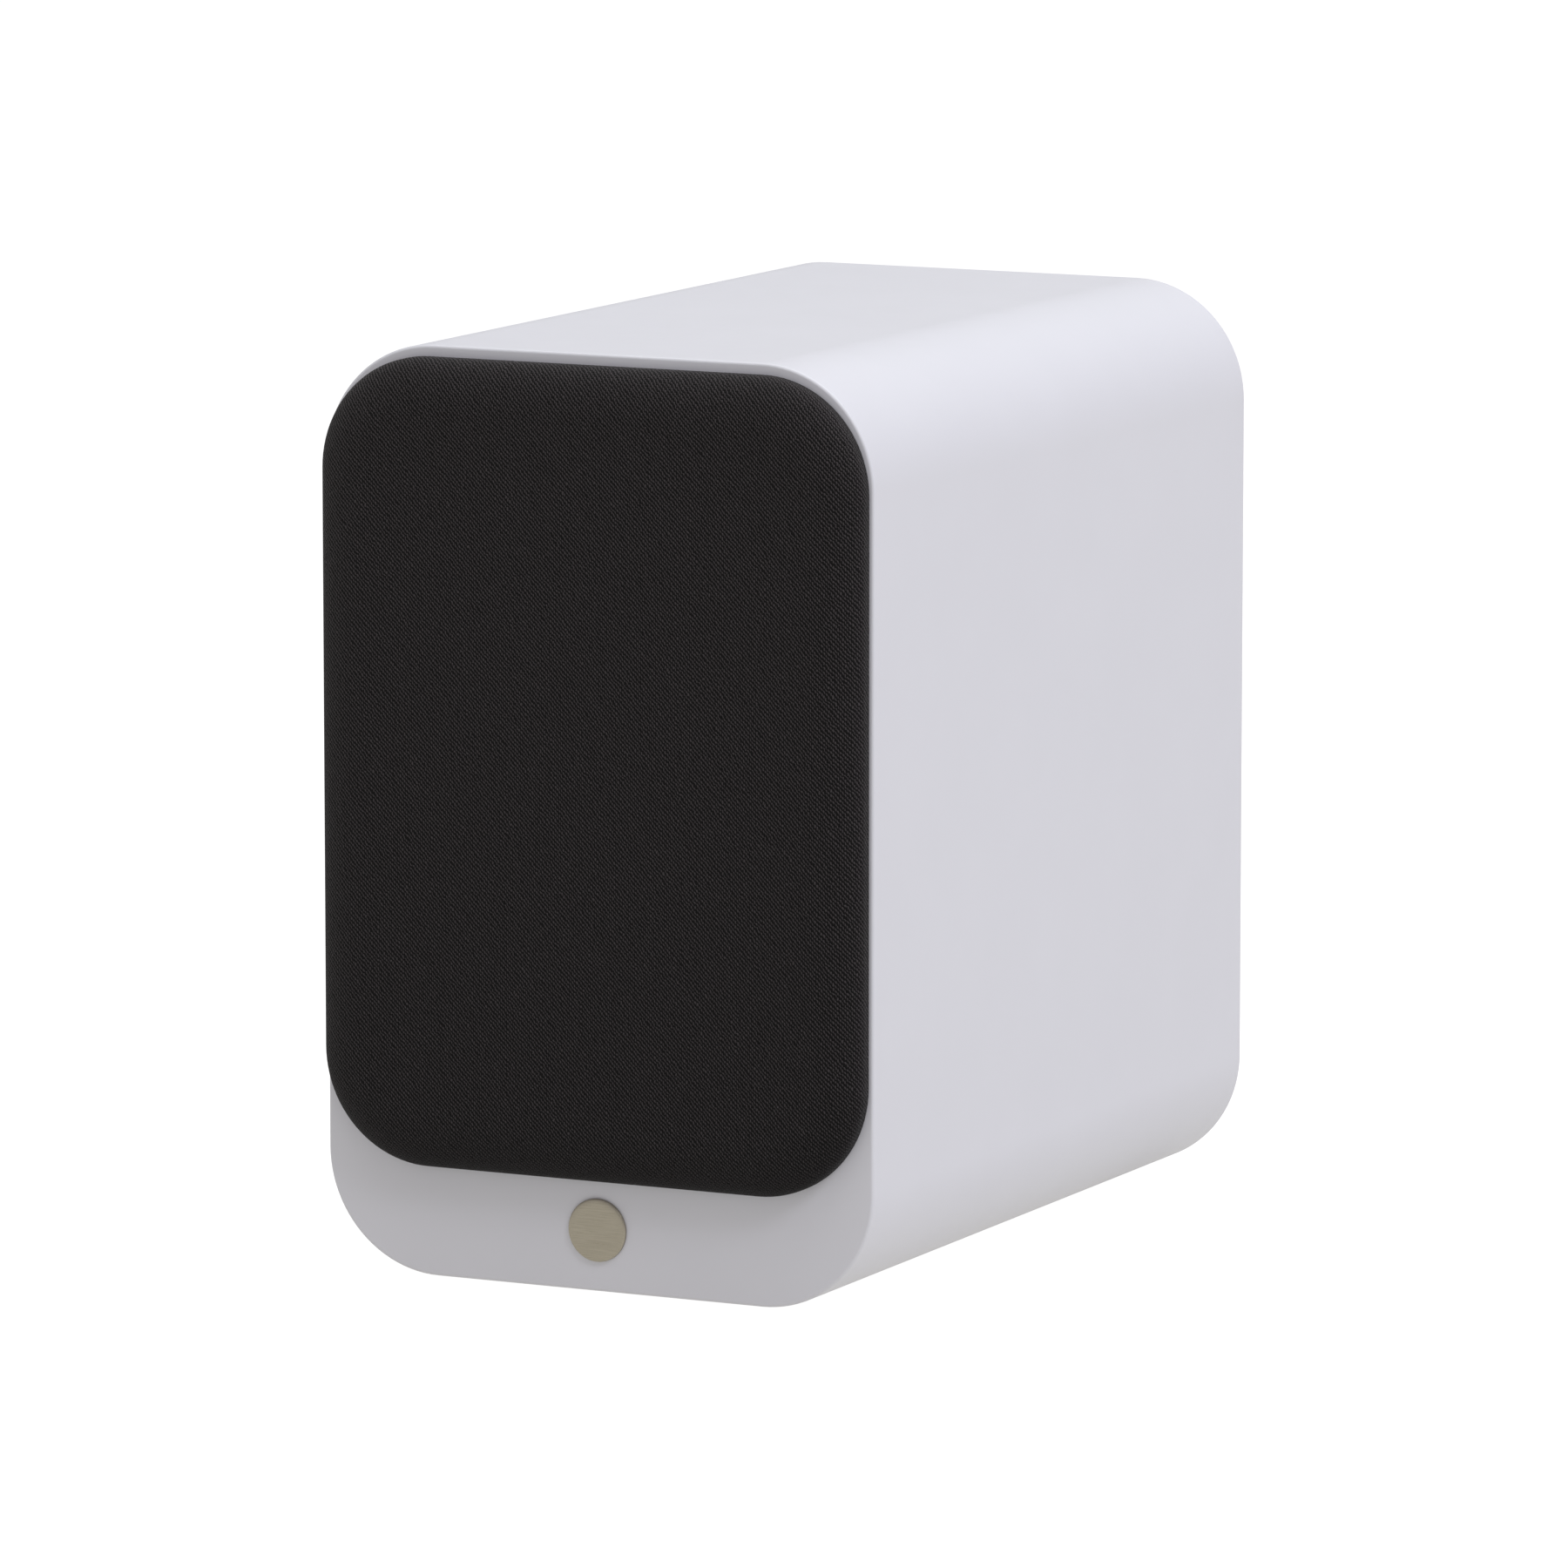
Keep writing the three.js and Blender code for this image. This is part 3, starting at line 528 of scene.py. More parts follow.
def circuit_board():
    """Green solder mask over copper tracks that run in straight lanes."""
    f = Finish("circuit_board", specular=0.5)
    on_board = f.node("Mapping", Vector=f.place(), Rotation=(math.pi / 2, 0, 0)).outputs[0]
    lanes = f.node("TexBrick", Vector=on_board)
    for name, value in (("Scale", 0.11), ("Mortar Size", 0.05), ("Mortar Smooth", 0.1)):
        lanes.inputs[name].default_value = value
    track = lanes.outputs["Fac"]
    tone = f.math("ADD", f.times(track, 0.5), f.times(f.grain(9, 4), 0.3))
    f.paint(f.blend(tone, "#1d4a2c", "#3f7d4d", 0.1, 0.7))
    f.uneven_gloss(5, 3, 0.28, 0.42)
    f.relief((track, 0.05))


def film_wrap():
    """Shiny wrapped film of a capacitor, with the wrap's edges showing as fine lines."""
    f = Finish("film_capacitor", specular=0.5)
    wraps = f.grain(0.7, 3, 0.6, stretch=(0.15, 1, 1))
    f.paint(f.blend(wraps, "#a5862c", "#cfae4a", 0.3, 0.7))
    f.uneven_gloss(5, 3, 0.22, 0.36)
    f.relief((wraps, 0.02))


def wadding_fibre():
    """Loose white polyester fibre."""
    f = Finish("wadding_fibre", roughness=0.95, specular=0.1)
    f.set(Sheen_Weight=0.4, Sheen_Roughness=0.6)
    strands = f.grain(2.4, 9, 0.8)
    f.paint(f.blend(strands, "#bfc0be", "#f1f1ee", 0.3, 0.65))
    f.relief((strands, 0.9), (f.cells(1.3), 0.4))


def grille_fabric():
    """A plain weave with painted highlights where the warp lies on top, and painted shade where the weft
    lies on top and between the threads, read from the cloth's flat coordinates.
    """
    f = Finish("grille_fabric", roughness=0.85, specular=0.16)
    f.set(Sheen_Weight=0.09, Sheen_Roughness=0.4)
    flat = f.node("UVMap", {"uv_map": "cloth"}).outputs[0]

    # Slow noise of up to half a millimetre lets the threads wander.
    slow = f.node("Mapping", Vector=flat, Scale=(0.12, 0.12, 1)).outputs[0]
    slack = f.node("TexNoise", Vector=slow, Detail=3.0).outputs["Color"]
    offset = f.node("VectorMath", {"operation": "SUBTRACT"}, i0=slack, i1=(0.5, 0.5, 0.5))
    offset = f.node("VectorMath", {"operation": "SCALE"}, i0=offset.outputs[0], Scale=1.2)
    laid = f.node("VectorMath", {"operation": "ADD"}, i0=flat, i1=offset.outputs[0]).outputs[0]

    # Each thread is a ridge, and rises or dips by lean where it passes over or under another.
    u, v, _ = f.node("SeparateXYZ", Vector=laid).outputs
    angles = f.times(u, math.pi / THREAD["warp"]), f.times(v, math.pi / THREAD["weft"])
    cos_u, cos_v = (f.math("COSINE", angle) for angle in angles)
    sin_u, sin_v = (f.math("SINE", angle) for angle in angles)
    twist = f.times(sin_u, sin_v, 0.75)
    lean = f.times(f.math("SUBTRACT", f.times(cos_u, cos_v), twist), 0.7)
    warp = f.math("ADD", f.math("ABSOLUTE", cos_u), lean)
    weft = f.math("SUBTRACT", f.math("ABSOLUTE", cos_v), lean)
    height = f.math("MAXIMUM", warp, weft)
    on_top = f.span(f.math("SUBTRACT", warp, weft), 0.0, 1.0, -0.7, 0.7)

    # lit is painted light: a highlight on each warp thread that lies on top, and painted shade on the weft
    # and in the hollows between threads
    lit = f.times(f.span(on_top, 0.05, 1.0, 0.25, 0.85), f.span(height, 0.15, 1.0, 0.5, 1.5))
    painted_top_light = f.span(f.facing_up(), 0.45, 2.0, -0.8, 0.8)  # painted light: cloth facing up on the rolled edge is paler and cloth facing down is darker, as the light comes from above
    yarn = f.node("TexNoise", Vector=flat, Scale=1.3, Detail=4.0, Roughness=0.7).outputs["Fac"]
    # painted shade: the cloth grows darker towards the bottom, as the light comes from above
    painted_shade_low_down = f.span(f.along(2), 0.8, 0.98, 50, 250)
    tone = f.times(lit, painted_top_light, f.span(yarn, 0.6, 1.3, 0.25, 0.75), painted_shade_low_down)
    f.paint(f.blend(tone, "#050404", "#444041"))
    f.relief((height, 0.12))


cloudy(  # satin lacquer with a faint orange peel
    "white_lacquer",
    (38, 2, "#dedee4", "#dfdfe5", 0.35, 0.65),
    (9, 4, 0.38, 0.42),
    (1.6, 2, 0.003),
    specular=0.45,
)
cloudy(  # black paint over board, with the roller's stipple
    "black_board",
    (14, 5, "#17171a", "#202023"),
    (3, 4, 0.42, 0.6),
    (0.9, 3, 0.05),
    (5, 2, 0.03),
    specular=0.4,
)
cloudy(  # soft insulation with faint extrusion marks
    "cable_jacket",
    (7, 4, "#4d1618", "#5f1c1e"),
    (2, 4, 0.42, 0.58),
    (0.5, 3, 0.02),
    specular=0.45,
)
grained(  # bare fibreboard with lighter and darker flecks
    "raw_board",
    (1.1, 6, 0.7),
    ("#8a6b48", "#c3a47c", 0.3, 0.72),
    0.08,
    stretch=(1, 2.5, 0.6),
    roughness=0.85,
    specular=0.2,
)
grained(  # cast cement with pinholes
    "resistor_ceramic",
    (0.8, 6, 0.7),
    ("#c9c4b6", "#ece8de", 0.25, 0.6),
    0.08,
    roughness=0.75,
    specular=0.35,
)
grille_fabric()
moulded_plastic()
brushed_badge()
ferrite()
cone_paper()
winding_wire()
red_plastic()
circuit_board()
film_wrap()
wadding_fibre()
rubber("foot_rubber", 5, "#141415", "#1d1d1e")
rubber("surround_rubber", 8, "#101011", "#1a1a1b")
metal("steel", "#84878b", "#b9bcbf")
metal("black_screw", "#222325", "#3c3d40", (0.35, 0.5), 2.0)
metal("brass", "#b08a3c", "#e2c272", (0.16, 0.28), 3.0)
fine_cloth("dome_silk", 0.24, "#16161a", "#2c2c31", 0.55, 0.02, sheen=0.3)
fine_cloth("spider_cloth", 0.55, "#7c5522", "#c08e47", 0.85, 0.08)

# ---- cabinet

SHELL = Box("cabinet_shell")
OUTER = Outline.of(SHELL, CABINET_RADIUS)
CAVITY = OUTER.inset(CABINET_WALL)
BAFFLE = Box("front_baffle")
GAP = 0.3  # left between pieces that touch
OPENING = Outline.of(BAFFLE, GRILLE_RADIUS - UNDER_GRILLE - GAP).inset(-GAP)


def cabinet_shell():
    """The lacquered wrap, with its front frame round the baffle's opening."""
    rebate = BAFFLE.back + GAP
    return loft(
        [
            (OPENING, 0, 0, 0.4),
            (OUTER, 0, 0, CABINET_EASING),
            (OUTER, 0, SHELL.back, CABINET_EASING),
            (CAVITY, 0, SHELL.back, CABINET_EASING),
            (CAVITY, 0, rebate, 0.3),
            (OPENING, 0, rebate),
        ],
        closed=True,
    )


show("cabinet_shell", cabinet_shell(), "white_lacquer")

# ---- grille

GRILLE = Box("grille_cloth")
GRILLE_EDGE = Outline.of(GRILLE, GRILLE_RADIUS)
GRILLE_BACK = -0.15
FRAME_GAP = 0.05  # between the frame and the cloth on it
CLOTH_DISH = 0.35  # how far the stretched cloth lies back at the middle of the window


def rolled_edge(offset, back):
    """(inset, depth, fillet) points of the grille's edge from the hem to its flat front."""
    reach_in, reach_out = GRILLE_ROLL - offset, -GRILLE.front - GRILLE_SIDE - offset
    roll = arc((GRILLE_ROLL, -GRILLE_SIDE), (reach_in, reach_out), 180, 270, 20)[1:]
    return [(offset, back, 0.5), (offset, -GRILLE_SIDE, 0), *((a, b, 0) for a, b in roll)]


def grille_cloth():
    """One sheet, across the front, round the rolled edge and under the frame, and its points laid flat."""
    points, rings, flat = [], [], []
    start = GRILLE_EDGE.inset(GRILLE_ROLL)
    spread = 12  # rings across the flat front
    for offset, back in ((0, GRILLE_BACK), (CLOTH, GRILLE_BACK - CLOTH)):
        path = rounded([(HEM, back), *rolled_edge(offset, back)], closed=False)
        path = [corner[:2] for corner in path]
        lengths = [0.0]
        for a, b in zip(path[::-1], path[-2::-1]):
            lengths.append(lengths[-1] + math.dist(a, b))
        layer = []
        for (inset, depth), length in zip(path, reversed(lengths)):
            edge = list(GRILLE_EDGE.inset(inset).points())
            layer.append(list(range(len(points), len(points) + len(edge))))
            points += [(x, depth, z) for x, z, _, _ in edge]
            flat += [(x + out_x * length, z + out_z * length) for x, z, out_x, out_z in start.points()]
        front = path[-1][1]
        for i in range(1, spread):
            share = 1 - i / spread
            depth = front + CLOTH_DISH * (1 - share**2)
            layer.append(list(range(len(points), len(points) + len(layer[0]))))
            for x, z, _, _ in start.points():
                here = (start.x + (x - start.x) * share, start.z + (z - start.z) * share)
                points.append((here[0], depth, here[1]))
                flat.append(here)
        layer.append([len(points)] * len(layer[0]))
        points.append((start.x, front + CLOTH_DISH, start.z))
        flat.append((start.x, start.z))
        rings += layer if offset == 0 else layer[::-1]
    return Shape(points, strips(rings, closed=True)), flat


def add_cloth():
    shape, flat = grille_cloth()
    sheet = show("grille_cloth", shape, "grille_fabric", body="grille")
    layer = sheet.data.uv_layers.new(name="cloth")
    for loop, uv in zip(sheet.data.loops, layer.uv):
        uv.vector = flat[loop.vertex_index]
    edge = [corner[:2] for corner in rolled_edge(0, GRILLE_BACK)]
    wrap = sum(math.dist(a, b) for a, b in zip(edge, edge[1:]))
    spare = 2 * (wrap + HEM - GRILLE_ROLL)
    size = ((GRILLE.width + spare) * MM, (GRILLE.height + spare) * MM)


def grille_frame():
    """The moulded frame under the cloth, with one window for the drivers."""
    back = GRILLE_BACK - CLOTH - FRAME_GAP
    edge = rolled_edge(CLOTH + FRAME_GAP, back)
    window = GRILLE_EDGE.inset(*GRILLE_RIM.values())
    sections = [(GRILLE_EDGE, *p) for p in edge]
    return loft([*sections, (window, 0, edge[-1][1], 1.2), (window, 0, back, 0.8)], closed=True)


show("grille_frame", grille_frame(), "black_plastic", body="grille")
add_cloth()

# ---- badge


def around(box, profile, **options):
    """A turned profile on the axis of a box."""
    return turned(profile, **options).moved(box.x, 0, box.z)


def badge(box):
    """A plain disc with a slightly domed face."""
    face = dome(box.radius * 0.93, box.front, box.front + 0.1, steps=6)
    rim = [(box.radius, box.front + 0.35, 0.25), (box.radius, box.back, 0), (0, box.back)]
    return around(box, [*face, *rim])


show("badge", badge, "badge_metal")

# ---- the rest of the cabinet

BOARD_EASING = 0.6
PORT_HOLE = 35
CUP_EDGE = Outline.of(Box("terminal_cup"), 6)
CUP_FRAME = 12  # width of the cup's flat frame
CUP_WALL = 2
WINDOW = {"width": 110, "height": 92, "radius": 20}
BRACE_BAR = 24  # height of the brace between its two windows


def ring(box, inner=0.0, fillet=0.3):
    """A plain ring or disc with eased edges that fills a box."""
    outside = [(box.radius, box.front, fillet), (box.radius, box.back, fillet)]
    inside = fillet if inner else 0
    return around(box, [(inner, box.front, inside), *outside, (inner, box.back, inside)])


def at_node(node, shape):
    """The shape moved onto the axis of a CAD node."""
    box = Box(node)
    return shape.moved(box.x, 0, box.z)


WOOFER_SCREWS = [f"woofer_screw_{i}" for i in range(1, 5)]
TWEETER_SCREWS = [f"tweeter_screw_{i}" for i in range(1, 4)]
CORNERS = ["top_left", "top_right", "bottom_left", "bottom_right"]
BAFFLE_MAGNETS = [f"baffle_magnet_{corner}" for corner in CORNERS]
CUP_SCREWS = [f"terminal_screw_{corner}" for corner in CORNERS]
REBATES = {"woofer_basket": (0.5, 4.8, 59), "tweeter_faceplate": (0.4, 3.3, 22)}  # clearance, depth, hole
PILOTS = [(WOOFER_SCREWS, 2, 15.5), (TWEETER_SCREWS, 1.7, 13.5), (BAFFLE_MAGNETS, 4.3, 4.6)]  # radius, depth


def rebated_hole(node, clearance, deep, radius, easing=0.3):
    """What to cut from the baffle for a driver: a round hole with a shallow rebate in front."""
    rebate, back = Box(node).radius + clearance, BAFFLE.back
    floor_edge = [(rebate, deep), (radius + easing, deep), (radius, deep + easing)]
    end = [(radius, back - easing), (radius + easing + PAST, back + PAST), (0, back + PAST)]
    return at_node(node, drill(rebate, BAFFLE.front, easing, TURN_STEPS, [*floor_edge, *end]))


def board(box, radius):
    """A plain board that fills a box, with eased edges."""
    return plate(Outline.of(box, radius), box.front, box.back, BOARD_EASING)


def front_baffle():
    """The black baffle, rebated for both drivers so that their flanges lie flush."""
    tools = [rebated_hole(node, *sizes) for node, sizes in REBATES.items()]
    for nodes, radius, deep in PILOTS:
        drilled = pocket(radius, BAFFLE.front, deep, steps=32).spun(3)
        tools += [at_node(node, drilled) for node in nodes]
    return cut(board(BAFFLE, OPENING.radius - GAP), *tools)


def rear_panel(box):
    """The black rear board, let into the wrap, with the port's and the terminal cup's openings."""
    mouth = CUP_EDGE.inset(CUP_FRAME).inset(-CUP_WALL - 0.5)
    opening = loft([(mouth, 0, box.front - PAST), (mouth, 0, box.back + PAST)])
    pilot = pocket(1.7, -PAST, 11, steps=24).spun(180, "X").moved(depth=box.back)
    pilots = [at_node(node, pilot) for node in CUP_SCREWS]
    port = at_node("port_tube", bore(PORT_HOLE, box.front, box.back))
    return cut(board(box, CAVITY.radius - GAP), port, opening, *pilots)


def window_brace(box):
    """The brace across the middle of the cabinet, with a window above and one below its bar."""
    front, back, e = box.front, box.back, BOARD_EASING
    eased = [(-PAST - e, front - PAST), (-e, front), (0, front + e)]
    eased += [(0, back - e), (-e, back), (-PAST - e, back + PAST)]
    away = (WINDOW["height"] + BRACE_BAR) / 2
    windows = [Outline(0, OUTER.z + side * away, **WINDOW) for side in (-1, 1)]
    tools = [loft([(window, *place) for place in eased]) for window in windows]
    return cut(board(box, CAVITY.radius - GAP), *tools)


def foot(box):
    """A rubber foot with a rounded rim and a shallow suction ring underneath."""
    radius, top = box.width / 2, box.high.z
    hollow = [(0, 0.5), (radius - 3.2, 0.5, 0.4), (radius - 2.6, 0, 0.4)]
    rim = [(radius, 0, 0.7), (radius, top, 0.3), (0, top)]
    return turned([*hollow, *rim], 64).spun(90, "X").moved(box.x, (box.front + box.back) / 2, 0)


LUMPS = [(1.4, 4.3), (0.7, 11), (0.35, 27)]  # height in millimetres, and how close together


def wadding(box):
    """A loose batt of fibre: a soft block whose surface is lumpy and whose corners are rounded."""
    middle = Vector((box.x, (box.front + box.back) / 2, box.z))
    half = (box.high - box.low) / 2 - Vector((1, 1, 1)) * 1.5
    ball = bmesh.new()
    bmesh.ops.create_cube(ball, size=2)
    bmesh.ops.subdivide_edges(ball, edges=ball.edges, cuts=40, use_grid_fill=True)
    points = []
    power = 7  # of the rounded block: higher is squarer
    for vertex in ball.verts:
        p = vertex.co
        on_block = p / sum(abs(c) ** power for c in p) ** (1 / power)
        lump = sum(high * noise.noise(p * close) for high, close in LUMPS)
        points.append(middle + on_block * half + p.normalized() * lump)
    faces = [[v.index for v in face.verts] for face in ball.faces]
    ball.free()
    return Shape(points, faces)


show("front_baffle", front_baffle(), "black_board")
show("rear_panel", rear_panel, "black_board")
show("window_brace", window_brace, "raw_board")
show("wadding", wadding, "wadding_fibre")
for end in ("front", "rear"):
    for side in ("left", "right"):
        show(f"foot_{end}_{side}", foot, "foot_rubber")
for magnet in BAFFLE_MAGNETS:
    show(magnet, ring, "steel", fillet=0.35)


def small_plate(box, easing, radius=2):
    """A thin plate that fills a box."""
    border = min(box.width, box.height) * 0.3
    return plate(Outline.of(box, radius), box.front, box.back, easing, border, steps=8)


for strip in ("grille_strip_top", "grille_strip_bottom"):
    show(strip, small_plate, "steel", "grille", easing=0.25)

# ---- screws


def screw(head_radius, head_height, shank_radius, length):
    """A pan-head screw along +Y from depth 0, with a cross recess and threads."""
    pitch, root = shank_radius * 0.75, shank_radius * 0.8
    thread_start, thread_end = head_height + 1, length - 2.2
    profile = [
        (0, 0),
        (head_radius * 0.55, 0.04),
        (head_radius * 0.86, head_height * 0.3, head_height * 0.5),
        (head_radius, head_height * 0.75, 0.25),
        (head_radius, head_height, 0.12),
        (root, head_height),
        (root, thread_start),
    ]
    for turn in range(int((thread_end - thread_start) / pitch)):
        here = thread_start + turn * pitch
        profile += [(shank_radius, here + pitch * 0.5), (root, here + pitch)]
    profile += [(shank_radius * 0.55, length - 1), (0, length)]
    arm, deep, wide = head_radius * 0.62, head_height * 0.85, head_radius * 0.2

    def tapered(across):
        return across * (0.5 if abs(across) > wide else 0.8)

    recess = []
    for half_x, half_z in ((arm, wide / 2), (wide / 2, arm)):
        top = [(sx * half_x, -0.5, sz * half_z) for sx, sz in ((1, 1), (-1, 1), (-1, -1), (1, -1))]
        low = [(tapered(x), deep, tapered(z)) for x, _, z in top]
        sides = [[i, (i + 1) % 4, 4 + (i + 1) % 4, 4 + i] for i in range(4)]
        recess.append(Shape(top + low, [[0, 1, 2, 3], [7, 6, 5, 4], *sides]))
    return cut(turned(profile, 40), *recess)


SCREW_TURNS = (12, 57, 31, 78)  # screws never stop with their recesses in line


def add_screws(nodes, pattern, from_behind=False):
    for node, turn in zip(nodes, SCREW_TURNS):
        box = Box(node)
        placed = pattern.spun(turn)
        if from_behind:
            placed = placed.spun(180, "X")
        show(node, placed.moved(box.x, box.back if from_behind else box.front, box.z), "black_screw")


woofer_screw = screw(head_radius=2.7, head_height=1.2, shank_radius=1.6, length=14)
tweeter_screw = screw(head_radius=2.3, head_height=1.0, shank_radius=1.3, length=14.5)
cup_screw = screw(head_radius=3.2, head_height=1.4, shank_radius=1.4, length=12)
add_screws(WOOFER_SCREWS, woofer_screw)
add_screws(TWEETER_SCREWS, tweeter_screw)
add_screws(CUP_SCREWS, cup_screw, from_behind=True)

# ---- woofer

CONE_INNER, CONE_OUTER = 13.2, 47
CONE_PAPER = 1.2


def woofer_trim_ring(box):
    """A ring over the basket's edge, with its inner and outer corners sloped."""
    lip, shoulder = 59.5, 61.2
    base = [(lip, box.back, 0.2), (box.radius, box.back, 0.2), (box.radius, box.front + 0.8, 0.3)]
    top = [(box.radius - 1, box.front, 0.6), (shoulder, box.front, 0.6), (lip, box.front + 1, 0.3)]
    return around(box, [*base, *top], steps=160)


def half_roll(box, inner, outer, rim, lip, thickness):
    """A half roll of rubber, with a flat rim outside it and a flat lip inside it."""
    back, flat = box.back, box.back - thickness
    middle, reach = (inner + outer) / 2, (outer - inner) / 2
    front_arc = arc((middle, flat), (reach, reach), 0, -180, 20)
    back_arc = arc((middle, back), (reach - thickness, reach - thickness), -180, 0, 20)
    inside = [(lip, flat, 0.15), (lip, back, 0.15)]
    return around(box, [(rim, flat, 0.15), *front_arc, *inside, *back_arc, (rim, back, 0.15)], steps=128)


def add_stretching(node, make, slot, moving, still_at, moving_at, **sizes):
    """A ring that joins a moving body to the cabinet; weights for its points between two radii are worked
    out, but nothing is made to stretch.
    """
    box = Box(node)
    piece = show(node, make, slot, body=None, **sizes)
    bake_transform(piece)
    radii = [math.hypot(v.co.x / MM - box.x, v.co.z / MM - box.z) for v in piece.data.vertices]
    shares = [min(max((still_at - r) / (still_at - moving_at), 0), 1) for r in radii]
    weights = [s * s * (3 - 2 * s) for s in shares]


def cone_depth(radius, edge, neck):
    """Depth of the cone's front: steep at the neck and flatter towards its edge."""
    share = (radius - CONE_INNER) / (CONE_OUTER - CONE_INNER)
    return edge + (neck - edge) * (1 - share) ** 1.2


def add_surround(driver, inner, outer, **sizes):
    """The rubber roll between a driver's cone or dome and its fixed rim."""
    sizes.update(inner=inner, outer=outer, still_at=outer, moving_at=inner)
    add_stretching(f"{driver}_surround", half_roll, "surround_rubber", f"{driver}_moving", **sizes)


def woofer_cone(box):
    edge, neck = box.front, box.back - CONE_PAPER
    radii = [CONE_INNER + (CONE_OUTER - CONE_INNER) * i / 24 for i in range(25)]
    front = [(r, cone_depth(r, edge, neck)) for r in radii]
    back = [(r, d + CONE_PAPER) for r, d in reversed(front)]
    rim = [(box.radius, edge, 0.3), (box.radius, edge + CONE_PAPER, 0.3)]
    return around(box, [*front, *rim, *back], steps=128)


def domed_cap(box, thickness):
    """A thin shell in the shape of a shallow dome."""
    front = dome(box.radius, box.front, box.back - 0.2)
    back = dome(box.radius - thickness, box.front + thickness, box.back)
    return around(box, [*front, *reversed(back)])


def woofer_spider(box):
    """A corrugated disc of resin-stiffened cloth, flat at both edges."""
    cloth, waves, inner, steps = 0.5, 5, 13.3, 80
    deep = box.back - box.front - cloth
    front = []
    for i in range(steps + 1):
        share = i / steps
        fade = min(1, 8 * share, 8 * (1 - share))
        wave = 0.5 - 0.5 * math.cos(2 * math.pi * waves * share)
        front.append((inner + (box.radius - inner) * share, box.back - cloth - deep * wave * fade))
    back = [(r, d + cloth) for r, d in reversed(front)]
    return around(box, [*front, *back], steps=96)


def with_holes(box, shape, hole, others):
    """The shape, on the axis of its box, with the same hole cut on the axis of each of the other nodes."""
    holes = [hole.moved(other.x - box.x, 0, other.z - box.z) for other in map(Box, others)]
    return cut(shape, *holes).moved(box.x, 0, box.z)


def woofer_basket(box):
    """A pressed steel chassis with six windows between its legs."""
    flange = box.front + 3
    bend, shoulder = 17, 42  # depths where the legs turn towards the magnet's seat
    seat = box.back - 2.2
    profile = [
        (56.6, box.front, 0.3),
        (box.radius, box.front, 0.5),
        (box.radius, flange, 0.5),
        (58.4, flange, 1.0),
        (57.5, bend, 6),
        (44, shoulder, 2),
        (38, box.back, 0.6),
        (16, box.back, 0.4),
        (16, seat, 0.4),
        (37.5, seat, 0.5),
        (37.5, 37.2, 0.5),
        (44.5, 37.2, 1.5),
        (55.3, bend, 6),
        (56.6, 4.5, 1.0),
    ]
    window = Outline(0, 0, width=34, height=15, radius=5)
    tunnel = loft([(window, 0, 32), (window, 0, 72)], steps=6).spun(90, "X").moved(depth=26.5)
    basket = cut(turned(profile), *(tunnel.spun(60 * i) for i in range(6)))
    return with_holes(box, basket, bore(2, box.front, flange, 0.2, 24), WOOFER_SCREWS)


def yoke(box, pole_radius):
    """A steel plate with a pole that reaches forward inside the coil, and a shallow dish in its back."""
    plate_front = box.back - 5
    pole = [(0, box.front), (pole_radius, box.front, 0.6), (pole_radius, plate_front, 0.4)]
    base = [(box.radius, plate_front, 0.4), (box.radius, box.back, 1.2)]
    dish = [(6, box.back, 0.4), (5, box.back - 1, 0.4), (0, box.back - 1)]
    return around(box, [*pole, *base, *dish])


show("woofer_basket", woofer_basket, "black_screw")
show("woofer_trim_ring", woofer_trim_ring, "black_plastic")
show("woofer_cone", woofer_cone, "cone_paper", "woofer_moving")
show("woofer_dust_cap", domed_cap, "cone_paper", "woofer_moving", thickness=0.8)
show("woofer_voice_coil", ring, "copper_wire", "woofer_moving", inner=12.2, fillet=0.1)
show("woofer_top_plate", ring, "steel", inner=13.4, fillet=0.5)
show("woofer_magnet", ring, "ferrite", inner=20, fillet=0.9)
show("woofer_yoke", yoke, "steel", pole_radius=11.8)
add_surround("woofer", inner=50, outer=57.2, rim=60.5, lip=47.5, thickness=0.8)
add_stretching("woofer_spider", woofer_spider, "spider_cloth", "woofer_moving", still_at=41, moving_at=15)

# ---- tweeter


def tweeter_faceplate(box):
    """A small plate that dishes in to the dome like a short horn."""
    throat = 16.2
    horn = [(throat, 1.2, 0.4), (21, -0.8, 3), (box.radius - 0.8, box.front, 0.5)]
    edge = [(box.radius, box.front + 0.6, 0.4), (box.radius, box.back, 0.3), (throat, box.back, 0.2)]
    hole = bore(1.7, box.front, box.back, 0.35, 24)
    return with_holes(box, turned([*horn, *edge], 128), hole, TWEETER_SCREWS)


def tweeter_yoke(box):
    """A closed can whose thin front wall stands round the magnet."""
    floor, lip, bore_radius, wall = 18.6, 10.4, 15.5, 13.5
    inside = [(0, floor), (bore_radius, floor, 0.3), (bore_radius, lip, 0.3)]
    front = [(wall, lip, 0.3), (wall, box.front, 0.4), (box.radius, box.front, 0.5)]
    return around(box, [*inside, *front, (box.radius, box.back, 1.5), (0, box.back)])


show("tweeter_faceplate", tweeter_faceplate, "black_plastic")
show("tweeter_dome", domed_cap, "dome_silk", "tweeter_moving", thickness=0.5)
show("tweeter_voice_coil", ring, "copper_wire", "tweeter_moving", inner=12.3, fillet=0.1)
show("tweeter_pole_plate", ring, "steel", fillet=0.4)
show("tweeter_magnet", ring, "steel", fillet=0.6)
show("tweeter_yoke", tweeter_yoke, "steel")
add_surround("tweeter", inner=13.3, outer=16, rim=19, lip=12.7, thickness=0.5)

# ---- port and terminals

PORT_BORE, PORT_WALL, PORT_FLARE, FLARE_DEPTH = 24, 2, 13, 21
FLANGE = 1.9
CUP_RECESS = 21
POST_RADIUS = 3
POST_CLEARANCE = 0.4
POSTS = ["post_stud_red", "post_stud_black"]


